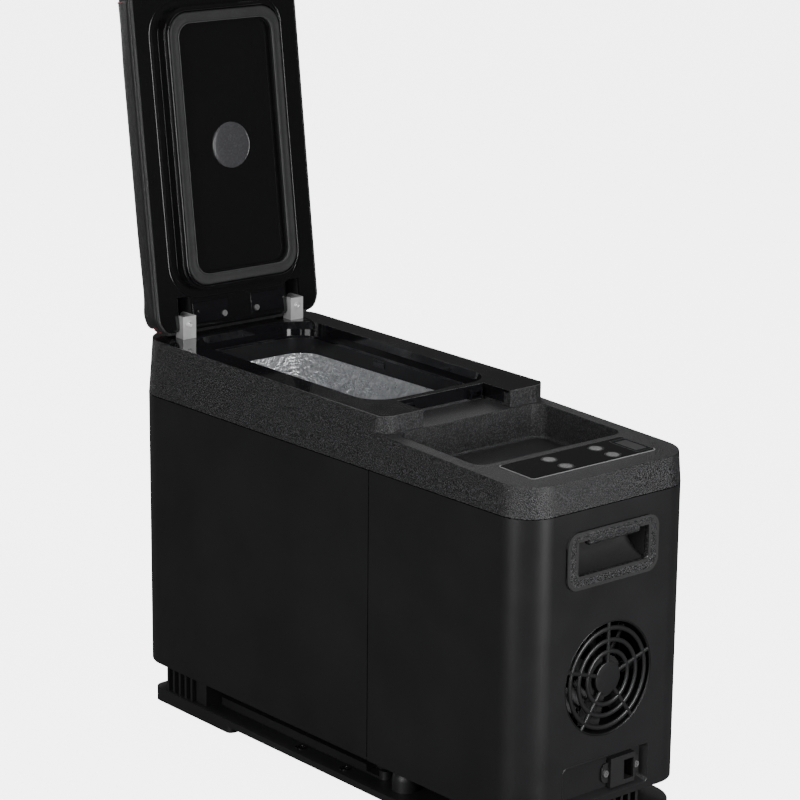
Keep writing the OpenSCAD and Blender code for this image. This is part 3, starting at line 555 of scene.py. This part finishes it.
def spaced(points, step):
    """A closed outline resampled at an even spacing."""
    ring = np.array(points + points[:1])
    lengths = np.concatenate(([0], np.cumsum(np.linalg.norm(np.diff(ring, axis=0), axis=1))))
    count = int(lengths[-1] / step)
    at = np.linspace(0, lengths[-1], count, endpoint=False)
    return list(zip(np.interp(at, lengths, ring[:, 0]), np.interp(at, lengths, ring[:, 1])))


def loft(bm, rings, around=False, cap_first=False, cap_last=False):
    """Joins rings of equal point counts by faces; around joins the last ring to the first."""
    made = [[bm.verts.new(p) for p in ring] for ring in rings]
    pairs = list(zip(made, made[1:]))
    if around:
        pairs.append((made[-1], made[0]))
    for low, high in pairs:
        n = len(low)
        for i in range(n):
            bm.faces.new((low[i], low[(i + 1) % n], high[(i + 1) % n], high[i]))
    if cap_first:
        bm.faces.new(made[0][::-1])
    if cap_last:
        bm.faces.new(made[-1])
    return made


def band(bm, shape, profile, around=True):
    """Sweeps a profile of (outward, height) points around a rounded rectangle."""
    rings = [[(x, y, z) for x, y in outline(*grown(shape, by))] for by, z in profile]
    return loft(bm, rings, around)


def circle_profile(radius, sides=10, flat=1.0, at=(0, 0)):
    """Points of a circle, its height multiplied by flat."""
    turns = [2 * math.pi * i / sides for i in range(sides)]
    return [(at[0] + radius * math.cos(a), at[1] + radius * flat * math.sin(a)) for a in turns]


def in_metres(profile):
    """A profile given in millimetres, as pairs of radius and height."""
    return [(r * MM, h * MM) for r, h in profile]


def lathe(bm, profile, sides=48, at=(0, 0, 0)):
    """Turns a profile of (radius, height) about Z, closed at both ends."""
    rings = []
    for r, z in profile:
        turns = [2 * math.pi * i / sides for i in range(sides)]
        rings.append([(at[0] + r * math.cos(a), at[1] + r * math.sin(a), at[2] + z) for a in turns])
    loft(bm, rings, cap_first=True, cap_last=True)


def moved(bm, matrix):
    bmesh.ops.transform(bm, matrix=matrix, verts=bm.verts)
    return bm


def applied(obj):
    """The mesh of an object with its modifiers applied."""
    graph = bpy.context.evaluated_depsgraph_get()
    return bpy.data.meshes.new_from_object(obj.evaluated_get(graph))


def scratch(bm, name):
    """A plain object to work on, which uses up the given mesh."""
    mesh = bpy.data.meshes.new(name)
    bm.to_mesh(mesh)
    bm.free()
    obj = bpy.data.objects.new(name, mesh)
    bpy.context.scene.collection.objects.link(obj)
    return obj


def discard(obj):
    mesh = obj.data
    bpy.data.objects.remove(obj)
    bpy.data.meshes.remove(mesh)


# ---- padded lid cover -----------------------------------------------------------------------

COVER = (LID_HALF - 0.0012, LID_FRONT + 0.0012, LID_BACK - 0.0012, 0.0195, 0.0195)
COVER_Z0 = LINER_Z + 0.0026
COVER_Z1 = LINER_Z + 0.0325
COVER_ROUND = 0.0095
COVER_TRIM = 0.0005
SWING_RADIUS = 0.0148
VOXEL = 0.005
PRESSURE = 4.0
MAX_SWELL = 0.004
CLOTH_FRAMES = 20
FOAM_FIRMNESS = 0.85
SEAM_YS = (0.2574, -0.0526)
STITCH = 0.0034
STITCH_GAP = 0.0017


def cover_block():
    """The cover before it is stuffed: drawn closed and level, its top edge widely rounded."""
    bm = bmesh.new()
    rings = [[(x, y, COVER_Z0) for x, y in outline(*COVER)]]
    steps = 6
    for i in range(steps + 1):
        a = math.radians(90 * i / steps)
        shape = grown(COVER, -COVER_ROUND * (1 - math.cos(a)))
        z = COVER_Z1 - COVER_ROUND * (1 - math.sin(a))
        rings.append([(x, y, z) for x, y in outline(*shape)])
    loft(bm, rings, cap_first=True, cap_last=True)
    bmesh.ops.recalc_face_normals(bm, faces=bm.faces)
    return scratch(bm, "cover_block")


def baked(obj):
    """A plain object that holds this one's finished mesh."""
    mesh = applied(obj)
    discard(obj)
    return placed(mesh)


def placed(mesh):
    result = bpy.data.objects.new("cover_pad", mesh)
    bpy.context.scene.collection.objects.link(result)
    return result


def filled_out(mesh):
    """Stretches the pad along and across, so that its sides meet the lid's outline."""
    limits = ((-LID_HALF, LID_HALF), (LID_FRONT, LID_BACK))
    for axis, (low, high) in enumerate(limits):
        values = [vertex.co[axis] for vertex in mesh.vertices]
        start = min(values)
        stretch = (high - low - 2 * COVER_TRIM) / (max(values) - start)
        for vertex in mesh.vertices:
            vertex.co[axis] = low + COVER_TRIM + (vertex.co[axis] - start) * stretch


def remeshed(obj, size):
    modifier = obj.modifiers.new("voxels", "REMESH")
    modifier.mode = "VOXEL"
    modifier.voxel_size = size
    return baked(obj)


def stuffed(obj):
    """Inflates the pad by cloth simulation, held along its lower edge."""
    start = [(v.co.copy(), v.normal.copy()) for v in obj.data.vertices]
    held = obj.vertex_groups.new(name="held")
    held.add([v.index for v in obj.data.vertices if v.co.z < COVER_Z0 + 0.004], 1.0, "ADD")
    cloth = obj.modifiers.new("cloth", "CLOTH")
    cloth.settings.quality = 6
    cloth.settings.use_pressure = True
    cloth.settings.uniform_pressure_force = PRESSURE
    cloth.settings.effector_weights.gravity = 0
    cloth.settings.vertex_group_mass = "held"
    cloth.point_cache.frame_start = 1
    cloth.point_cache.frame_end = CLOTH_FRAMES
    scene = bpy.context.scene
    for number in range(1, CLOTH_FRAMES + 1):
        scene.frame_set(number)
    mesh = applied(obj)
    for vertex, (origin, normal) in zip(mesh.vertices, start):
        shift = vertex.co - origin
        inward = min(shift.dot(normal), 0)
        shift -= normal * inward * FOAM_FIRMNESS
        if shift.length > MAX_SWELL:
            shift *= MAX_SWELL / shift.length
        vertex.co = origin + shift
    discard(obj)
    scene.frame_set(1)
    return placed(mesh)


def pocket_cutter():
    """The hollows that the liner's pockets need in the cover: the latch's, and one at each hinge."""
    bm = bmesh.new()
    boxes = [((-0.049, -0.0845), (0.049, -0.056), LINER_Z + 0.0184)]
    half_width = 0.0086
    for side in (-1, 1):
        low = (side * BRACKET_X - half_width, PIN.y - 0.0214)
        high = (side * BRACKET_X + half_width, 0.29)
        boxes.append((low, high, LINER_Z + 0.022))
    for (x0, y0), (x1, y1), top in boxes:
        corners = [(x0, y0), (x1, y0), (x1, y1), (x0, y1)]
        rings = [[(x, y, z) for x, y in corners] for z in (LINER_Z - 0.01, top)]
        loft(bm, rings, cap_first=True, cap_last=True)
    bmesh.ops.recalc_face_normals(bm, faces=bm.faces)
    return scratch(bm, "pocket_cutter")


def keep_swing(bm):
    """Draws the back lower edge in, so that it clears the rim as the lid turns."""
    for vertex in bm.verts:
        dy = vertex.co.y - PIN.y
        dz = vertex.co.z - PIN.z
        radius = math.hypot(dy, dz)
        if dy > 0 and dz < 0 and radius > SWING_RADIUS:
            vertex.co.y = PIN.y + dy * SWING_RADIUS / radius
            vertex.co.z = PIN.z + dz * SWING_RADIUS / radius


def sew_channels(bm):
    """Cuts a narrow valley into the cover along each seam."""
    for seam in SEAM_YS:
        for offset in (-0.0028, -0.0014, -0.0005, 0.0005, 0.0014, 0.0028):
            everything = list(bm.verts) + list(bm.edges) + list(bm.faces)
            bmesh.ops.bisect_plane(
                bm, geom=everything, dist=1e-6, plane_co=(0, seam + offset, 0), plane_no=(0, 1, 0)
            )
    bm.normal_update()
    reach, valley_depth, valley_width = 0.0035, 0.0013, 0.0011
    pushes = []
    for vertex in bm.verts:
        near = min(abs(vertex.co.y - seam) for seam in SEAM_YS)
        if near < reach and vertex.co.z > COVER_Z0 + 0.002:
            depth = valley_depth * math.exp(-(near / valley_width) ** 2)
            pushes.append((vertex, -vertex.normal * depth))
    for vertex, push in pushes:
        vertex.co += push


def lid_cover():
    obj = remeshed(cover_block(), VOXEL)
    obj = stuffed(obj)
    smooth = obj.modifiers.new("smooth", "SUBSURF")
    smooth.levels = 1
    obj = baked(obj)
    filled_out(obj.data)
    cutter = pocket_cutter()
    cut = obj.modifiers.new("pockets", "BOOLEAN")
    cut.operation = "DIFFERENCE"
    cut.solver = "EXACT"
    cut.object = cutter
    mesh = applied(obj)
    discard(obj)
    discard(cutter)
    bm = bmesh.new()
    bm.from_mesh(mesh)
    bpy.data.meshes.remove(mesh)
    keep_swing(bm)
    sew_channels(bm)
    surface = BVHTree.FromBMesh(bm)
    cover = from_bmesh(moved(bm, OPENED), "padded_cover", hide, "lid", ("lid_cushion",), 50)
    red_stitches(surface)


def red_stitches(surface):
    """Two rows of stitches beside each seam, over the top and down both sides, laid on the cover."""
    bm = bmesh.new()
    reach = 0.13
    middle_z = LINER_Z + 0.012
    for seam in SEAM_YS:
        for row in (-0.0021, 0.0021):
            y = seam + row
            trace = []
            for i in range(181):
                a = math.radians(i)
                start = Vector((reach * math.cos(a), y, middle_z + reach * math.sin(a)))
                aim = Vector((0, y, middle_z)) - start
                hit, normal, _, _ = surface.ray_cast(start, aim.normalized())
                if hit is not None and hit.z > COVER_Z0 + 0.002:
                    trace.append((hit, normal))
            lay_stitches(bm, trace)
    from_bmesh(moved(bm, OPENED), "red_stitching", thread, "lid", (), 80)


def lay_stitches(bm, trace):
    """Places stitches of even length along a trace of surface points."""
    travelled = 0.0
    next_start = 0.001
    begin = None
    for (a, normal), (b, _) in zip(trace, trace[1:]):
        travelled += (b - a).length
        if begin is None and travelled >= next_start:
            begin = (b, normal)
        elif begin is not None and travelled >= next_start + STITCH:
            add_stitch(bm, begin[0], b, normal)
            next_start = travelled + STITCH_GAP
            begin = None


def add_stitch(bm, start, end, normal):
    """One stitch: a short, six-sided spindle that lies on the cover."""
    along = end - start
    if along.length < 0.001:
        return
    along.normalize()
    across = normal.cross(along).normalized()
    up = along.cross(across)
    rings = []
    thickness, rise = 0.00055, 0.00035
    for t in (0.0, 0.15, 0.5, 0.85, 1.0):
        width = thickness * (0.45 + 0.55 * math.sin(math.pi * t))
        lift = rise * math.sin(math.pi * t)
        middle = start.lerp(end, t) + up * lift
        turns = [math.radians(60 * k) for k in range(6)]
        rings.append([middle + across * width * math.cos(a) + up * width * math.sin(a) for a in turns])
    loft(bm, rings, cap_first=True, cap_last=True)


def lid_piping():
    """The welt between the cover and the liner; at the back it rises to clear the rim."""
    bm = bmesh.new()
    radius = 0.0021
    path = (LID_HALF - radius, LID_FRONT + radius, LID_BACK - radius, 0.018, 0.018)
    level = LINER_Z + 0.0023
    reach = SWING_RADIUS - radius + 0.0003
    rings = []
    for by, up in circle_profile(radius, 10):
        ring = []
        for (x, y), (_, path_y) in zip(outline(*grown(path, by)), outline(*path)):
            dy = path_y - PIN.y
            z = level
            if dy > 0:
                z = max(z, PIN.z - math.sqrt(max(reach ** 2 - dy ** 2, 0)))
            ring.append((x, y, z + up))
        rings.append(ring)
    loft(bm, rings, around=True)
    from_bmesh(moved(bm, OPENED), "lid_piping", hide, "lid", (), 80)


# ---- inside of the lid ----------------------------------------------------------------------


def lid_gasket():
    """A soft seal with two ribs and a shallow valley between them."""
    outer = (0.0648, PLUG_Y - 0.1281, PLUG_Y + 0.1281, 0.0215, 0.0215)
    inner = (0.0544, PLUG_Y - 0.1177, PLUG_Y + 0.1177, 0.014, 0.014)
    top = LINER_Z - 0.0132
    foot = LINER_Z - 0.0071
    section = ((0, foot), (0, top + 0.0016), (0.04, top + 0.0006), (0.1, top + 0.0001), (0.2, top),
               (0.3, top + 0.0002), (0.5, top + 0.0003), (0.7, top + 0.0002), (0.8, top),
               (0.9, top + 0.0001), (0.96, top + 0.0006), (1, top + 0.0016), (1, foot))
    bm = bmesh.new()
    rings = [[(x, y, z) for x, y in outline(*between(outer, inner, t))] for t, z in section]
    loft(bm, rings, around=True)
    from_bmesh(moved(bm, OPENED), "ribbed_gasket", seal_rubber, "lid", ("lid_gasket",), 60)


def gasket_lips():
    """The gloss lip that holds the gasket from outside, and a light grey bead along its inner edge that is
    a painted highlight line.
    """
    bm = bmesh.new()
    outer = (0.066, PLUG_Y - 0.1293, PLUG_Y + 0.1293, 0.0224, 0.0224)
    band(bm, outer, circle_profile(0.0007, 12, 2.2, (0, LINER_Z - 0.0114)))
    from_bmesh(moved(bm, OPENED), "gasket_lip", gloss, "lid", (), 80)
    # a light grey bead on the gasket's inner top edge, standing in for a highlight: painted highlight
    bm = bmesh.new()
    inner = (0.0547, PLUG_Y - 0.118, PLUG_Y + 0.118, 0.0143, 0.0143)
    band(bm, inner, circle_profile(0.0004, 8, 1.0, (0, LINER_Z - 0.01275)))
    from_bmesh(moved(bm, OPENED), "gasket_painted_highlight_line", frame_grey, "lid", (), 80)


def lid_disc():
    """The round translucent disc in the middle of the plug."""
    bm = bmesh.new()
    profile = ((21.8, 0.0), (21.8, 0.5), (21.4, 1.0), (20.9, 1.1), (20.5, 0.9), (20.1, 1.3), (16, 1.6),
               (8, 1.78), (1, 1.8))
    lathe(bm, in_metres(profile), 72)
    place = OPENED @ Matrix.Translation((0, PLUG_Y, LINER_Z - 0.007)) @ Matrix.Rotation(math.pi, 4, "X")
    from_bmesh(moved(bm, place), "lens_disc", disc_plastic, "lid", ("lid_disc",), 50)


def lid_liner():
    """The liner with a wide rounding along the plug and a fine bead around it."""
    bm = moved(cad_copy("lid_liner"), OPENED.inverted())

    def on_plug(middle, edge):
        outside = abs(middle.x) > 0.0672 or abs(middle.y - PLUG_Y) > 0.1305
        inside = abs(middle.x) < 0.071 and abs(middle.y - PLUG_Y) < 0.134
        at_step = abs(middle.z - LINER_Z) < 0.0002 or abs(middle.z - LINER_Z + 0.01) < 0.0002
        return outside and inside and at_step

    round_edges(bm, 1.6 * MM, 4, 40, on_plug)
    bead = (0.0778, PLUG_Y - 0.1405, PLUG_Y + 0.1405, 0.034, 0.034)
    band(bm, bead, circle_profile(0.0013, 10, 0.12, (0, LINER_Z)))
    from_bmesh(moved(bm, OPENED), "lid_liner_finish", liner_gloss, "lid", ("lid_liner",))


# ---- tub ------------------------------------------------------------------------------------


def tub_skin():
    """The metal tub with its beaten pattern worked into the inner wall, thin-walled and closed."""
    half_width, half_length, middle_y = 0.063, 0.126, 0.091
    inner = (half_width, -0.035, 0.217, 0.024, 0.024)
    floor_z, top_z, wall = 0.071, 0.3315, 0.0012
    floor_round, dent_depth = 0.004, 0.001
    dents_per_metre = 260
    spacing = 0.0024
    base_ring = spaced(outline(*inner), spacing)
    seed = Vector((3.1, 7.7, 1.3))
    centre = Vector((0, middle_y, 0))
    rings = []

    def ring(shrink, z, depth):
        points = []
        for x, y in base_ring:
            flat = Vector((x - centre.x, y - centre.y, 0))
            out = Vector((flat.x / half_width, flat.y / half_length, 0))
            corner = Vector((math.copysign(1, out.x) if abs(out.x) > abs(out.y) else 0,
                             math.copysign(1, out.y) if abs(out.y) >= abs(out.x) else 0, 0))
            place = Vector((x, y, z)) * dents_per_metre + seed
            dent = noise.noise(place) + 0.5 * noise.noise(place * 2.1)
            spot = Vector((x, y, 0)) - corner * (shrink + depth * dent)
            points.append((spot.x, spot.y, z))
        return points

    for z in (top_z, floor_z - wall):
        rings.append(ring(-wall, z, 0))
    rings.reverse()
    steps = int((top_z - floor_z - floor_round) / spacing)
    rings.append(ring(0, top_z, 0))
    for i in range(1, steps + 1):
        rings.append(ring(0, top_z - i * (top_z - floor_z - floor_round) / steps, dent_depth))
    rings.append(ring(wall, floor_z + wall, 0))
    rings.append(ring(floor_round, floor_z, 0))
    bm = bmesh.new()
    loft(bm, rings, cap_first=True, cap_last=True)
    from_bmesh(bm, "beaten_tub", tub_metal, "cabinet", ("liner_tub",), 60)


# ---- front: grille, handle and power inlet --------------------------------------------------

FRONT_Y = -0.275
FAN_Z = 0.152
GRIP_FOOT = 0.2746


def front_place(z):
    """Shapes drawn flat, seen from the front: x across, y up, height towards the viewer."""
    return Matrix.Translation((0, FRONT_Y, z)) @ FACING_FRONT


def fan_grille():
    """Round wire hoops on five spokes, with a flat hub."""
    bm = bmesh.new()
    sides = 96
    spokes = 5

    def hoop(radius, width, thick):
        rings = []
        for out, up in circle_profile(width / 2, 12, thick / width):
            turns = [2 * math.pi * i / sides for i in range(sides)]
            reach = radius + out
            rings.append([(reach * math.cos(a), reach * math.sin(a), up - thick / 2) for a in turns])
        loft(bm, rings, around=True)

    for radius in (0.0235, 0.0335, 0.044):
        hoop(radius, 0.0043, 0.003)
    hoop(0.0503, 0.0016, 0.003)
    hub = ((0.0135, -0.003), (0.0145, -0.0022), (0.0144, -0.0006), (0.0137, -0.0001), (0.009, 0),
           (0.001, 0))
    lathe(bm, hub, 64)
    for k in range(spokes):
        a = math.radians(90 + 360 / spokes * k)
        along = Vector((math.cos(a), math.sin(a), 0))
        across = Vector((-along.y, along.x, 0))
        rings = []
        for reach in (0.012, 0.0205, 0.0505):
            middle = along * reach + Vector((0, 0, -0.0014))
            ring = []
            for i in range(12):
                t = math.radians(30 * i)
                ring.append(middle + across * 0.002 * math.cos(t) + Vector((0, 0, 0.0014 * math.sin(t))))
            rings.append(ring)
        loft(bm, rings, cap_first=True, cap_last=True)
    bm = moved(bm, front_place(FAN_Z))
    from_bmesh(bm, "round_wire_grille", satin, "cabinet", ("fan_grille",), 50)


def handle_surround():
    """The pillowed frame around the handle's scoop, and the scoop itself."""
    middle_z = 0.26425
    outer = (0.053, -0.02525, 0.02525, 0.012, 0.012)
    inner = (0.0408, -0.0130, 0.01665, 0.0045, 0.002)
    section = ((0, -0.001), (0, 0.0009), (0.04, 0.0016), (0.12, 0.0021), (0.3, 0.00225), (0.7, 0.00225),
               (0.9, 0.0021), (0.97, 0.0015), (1, 0.0005), (1, -0.003), (0.9, -0.004))
    bm = bmesh.new()
    rings = [[(x, y, z) for x, y in outline(*between(outer, inner, t), 12)] for t, z in section]
    loft(bm, rings, around=True)
    bm = moved(bm, front_place(middle_z))
    from_bmesh(bm, "handle_surround", grained, "cabinet", (), 60)
    scoop = cad_copy("handle_housing")
    round_edges(scoop, 0.6 * MM, 2, 50, lambda middle, edge: middle.y > FRONT_Y + 0.001)
    from_bmesh(scoop, "handle_scoop", scoop_plastic, "cabinet", ("handle_housing",))


def handle_grip():
    """The bar across the top of the handle, with a fine step along its upper edge."""
    bm = bmesh.new()
    section = ((-0.0057, 0.0120), (-0.0062, 0.0050), (-0.0040, 0.0022), (-0.0004, 0.0016), (0.0018, 0.0022),
               (0.0031, 0.0040), (0.0031, 0.0100), (0.0026, 0.0108), (0.0018, 0.0112), (0.0018, 0.0122),
               (0.0012, 0.0128), (-0.0050, 0.0128))
    rings = []
    ends = ((-0.0296, 0.6), (-0.0293, 0.86), (-0.0286, 1), (0.0286, 1), (0.0293, 0.86), (0.0296, 0.6))
    middle_out, middle_up = -0.0015, 0.0072
    for x, shrink in ends:
        ring = []
        for out, up in section:
            ring.append((x, FRONT_Y - middle_out - (out - middle_out) * shrink,
                         GRIP_FOOT + middle_up + (up - middle_up) * shrink))
        rings.append(ring)
    loft(bm, rings, cap_first=True, cap_last=True)
    round_edges(bm, 0.3 * MM, 2, 40)
    from_bmesh(bm, "grip_bar", grained, "cabinet", ("handle_grip",), 50)


def inlet_border():
    """The fine raised lip around the power inlet's recess."""
    bm = bmesh.new()
    band(bm, (0.0509, -0.0183, 0.0183, 0.0042, 0.0042), circle_profile(0.0007, 10, 0.8))
    from_bmesh(moved(bm, front_place(0.0632)), "inlet_border", satin, "cabinet", (), 80)


# ---- control panel --------------------------------------------------------------------------

PANEL_Y = -0.2313
DECK_SLOPE = 2.2
DECK_Z = 0.3421
DECK_ZERO_Y = -0.075
BUTTONS = {
    "button_power": (-0.024, 0.0103), "button_mode": (-0.024, -0.0103),
    "button_up": (0.0305, 0.0103), "button_down": (0.0305, -0.0103),
}


def on_deck(x, y):
    """Shapes drawn level, laid on the sloping deck at x and y from the panel's middle."""
    height = DECK_Z + (PANEL_Y - DECK_ZERO_Y) * math.tan(math.radians(DECK_SLOPE))
    turn = Matrix.Rotation(math.radians(DECK_SLOPE), 4, "X")
    return Matrix.Translation((0, PANEL_Y, height)) @ turn @ Matrix.Translation((x, y, 0))


def button_domes():
    """Each button's rubber rim and its lighter cap."""
    rim = ((8.5, -2.8), (8.5, -1.8), (7.4, -1.7), (7.4, 0.1), (7.1, 0.5), (6.4, 0.7), (5.9, 0.62),
           (5.6, 0.35), (1, 0.3))
    cap = ((5.5, 0.25), (5.4, 0.6), (5.0, 0.78), (3.5, 0.88), (0.8, 0.92))
    for node, (x, y) in BUTTONS.items():
        body = frame["nodes"][node]["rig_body"]
        for part, profile, material in (("rim", rim, black_rubber), ("cap", cap, print_grey)):
            bm = bmesh.new()
            lathe(bm, in_metres(profile), 48)
            hidden = (node,) if part == "rim" else ()
            from_bmesh(moved(bm, on_deck(x, y)), node + "_" + part, material, body, hidden, 50)


def display_frame():
    """The lip around the display's window, and the grey screen that lies on it."""
    lip_x, screen_x = 0.062, 0.0625
    bm = bmesh.new()
    band(bm, (0.0094, -0.0169, 0.0169, 0.0016, 0.0016), circle_profile(0.0005, 8, 0.8, (0, 0.0003)))
    bm = moved(bm, on_deck(lip_x, 0))
    from_bmesh(bm, "display_frame", base_plastic, "cabinet", (), 80)
    bm = bmesh.new()
    shape = outline(0.0066, -0.0128, 0.0128, 0.001, 0.001, 4)
    loft(bm, [[(x, y, z) for x, y in shape] for z in (0.0001, 0.00042)], cap_first=True, cap_last=True)
    bm = moved(bm, on_deck(screen_x, 0))
    from_bmesh(bm, "display_screen", frame_grey, "cabinet", (), 50)


def panel_border():
    """A lighter band along the front and one end of the panel's overlay: a painted highlight on its edge.
    """
    bm = bmesh.new()
    band(bm, (0.0717, -0.0214, 0.0214, 0.0034, 0.0034), circle_profile(0.0006, 8, 0.8, (0, 0.0003)))
    # the light band is kept only on the front and the near end, the sides that face the light: painted
    # highlight
    faces_without_highlight = []
    for face in bm.faces:
        middle = face.calc_center_median()
        if middle.x > -0.0683 and middle.y > -0.018:
            faces_without_highlight.append(face)
    bmesh.ops.delete(bm, geom=faces_without_highlight, context="FACES")
    bmesh.ops.holes_fill(bm, edges=bm.edges, sides=8)
    from_bmesh(moved(bm, on_deck(0, 0)), "panel_border", painted_edge_highlight, "cabinet", (), 80)


# ---- hinge brackets and the seam below the frame --------------------------------------------

BRACKET_FRONT = 0.231
SEAM_Z = 0.3075
JOINT_Y = -0.0750


def bracket_buttons():
    """The socket-headed buttons near the top of the hinge brackets."""
    profile = ((3.5, -0.1), (3.5, 0.4), (3.1, 0.8), (2.4, 0.85), (2.1, 0.3), (1.9, 0.25), (1.6, 0.55),
               (1.2, 0.6), (1.1, -0.5), (0.3, -0.6))
    bm = bmesh.new()
    for side in (-1, 1):
        part = bmesh.new()
        lathe(part, in_metres(profile), 40)
        place = Matrix.Translation((side * BRACKET_X, BRACKET_FRONT, PIN.z - 0.002)) @ FACING_FRONT
        mesh = bpy.data.meshes.new("button")
        moved(part, place).to_mesh(mesh)
        bm.from_mesh(mesh)
        bpy.data.meshes.remove(mesh)
    from_bmesh(bm, "bracket_buttons", steel, "cabinet", (), 40)


def seam_strip():
    """The dark strips that show in the joints between the frame and the panels."""
    bm = bmesh.new()
    shape = (0.0983, -0.2743, 0.2743, 0.0313, 0.0353)
    band(bm, shape, circle_profile(0.0009, 8, 0.8, (0, SEAM_Z)))
    panel_foot = 0.042
    for side in (-1, 1):
        around = []
        for k in range(8):
            a = math.radians(45 * k)
            around.append((side * 0.0984 + 0.0007 * math.cos(a), JOINT_Y + 0.0009 * math.sin(a)))
        rings = [[(x, y, z) for x, y in around] for z in (panel_foot, SEAM_Z)]
        loft(bm, rings, cap_first=True, cap_last=True)
    from_bmesh(bm, "seam_strip", joint_black, "cabinet", (), 80)


# ---- base -----------------------------------------------------------------------------------

FLANGE_Z = 0.015


def base_posts():
    """The two turned posts between the base and the front of the cabinet."""
    post_x, post_y = 0.076, -0.102
    profile = ((12.5, 15), (12.5, 25), (11.8, 28.5), (10, 31.5), (8, 33.6), (6.6, 35.2), (4.7, 35.8),
               (4.5, 36.2), (4.5, 39))
    bm = bmesh.new()
    for x in (-post_x, post_x):
        lathe(bm, in_metres(profile), 48, (x, post_y, 0))
    from_bmesh(bm, "turned_posts", base_plastic, "cabinet", ("base_posts",), 40)


def flange_eyelets():
    """Raised rings around the four floor bolt holes."""
    bolt_x, bolt_y = 0.088, 0.032
    bm = bmesh.new()
    section = ((2.75, -0.4), (2.75, 0.5), (3.1, 0.9), (4.6, 0.9), (5.3, 0.5), (5.4, -0.2))
    sides = 40
    turns = [2 * math.pi * i / sides for i in range(sides)]
    for x in (-bolt_x, bolt_x):
        for y in (-bolt_y, bolt_y):
            rings = []
            for r, h in in_metres(section):
                rings.append([(x + r * math.cos(a), y + r * math.sin(a), FLANGE_Z + h) for a in turns])
            loft(bm, rings, around=True)
    from_bmesh(bm, "flange_eyelets", gloss, "cabinet", (), 50)


# ---- top frame ------------------------------------------------------------------------------


def top_frame():
    """The grained frame with soft edges: wide along the deck and tray, finer around the gloss rim."""
    bm = cad_copy("top_frame")
    bm.normal_update()

    def faces_up_and_out(edge):
        ups = [face.normal.z for face in edge.link_faces]
        return max(ups) > 0.95 and min(abs(up) for up in ups) < 0.3

    def deck_edge(middle, edge):
        return faces_up_and_out(edge) and edge.is_convex and middle.y < -0.06 and middle.z < 0.3465

    def tray_foot(middle, edge):
        return faces_up_and_out(edge) and not edge.is_convex and middle.z < 0.312 and middle.y < -0.08

    def rim_edge(middle, edge):
        return faces_up_and_out(edge) and edge.is_convex and middle.z > 0.352

    def prong_corner(middle, edge):
        upright = abs(edge.verts[0].co.z - edge.verts[1].co.z) > 0.005
        return upright and edge.is_convex and -0.1 < middle.y < -0.05 and middle.z > 0.345

    def seam_edge(middle, edge):
        downs = [face.normal.z for face in edge.link_faces]
        outside = abs(middle.x) > 0.096 or middle.y < -0.27 or middle.y > 0.27
        return outside and edge.is_convex and min(downs) < -0.95 and max(downs) > -0.3 and middle.z < 0.309

    round_edges(bm, 0.9 * MM, 3, 40, seam_edge)
    round_edges(bm, 2.2 * MM, 4, 40, deck_edge)
    round_edges(bm, 3.0 * MM, 4, 40, tray_foot)
    round_edges(bm, 3.2 * MM, 4, 40, prong_corner)
    round_edges(bm, 1.2 * MM, 3, 40, rim_edge)
    from_bmesh(bm, "top_frame_finish", grained, "cabinet", ("top_frame",))


make_camera()
make_studio()
paint_nodes()
finish_cad_nodes()
top_frame()
lid_cover()
lid_piping()
lid_gasket()
gasket_lips()
lid_disc()
lid_liner()
tub_skin()
fan_grille()
handle_surround()
handle_grip()
inlet_border()
bracket_buttons()
seam_strip()
base_posts()
flange_eyelets()
button_domes()
display_frame()
panel_border()
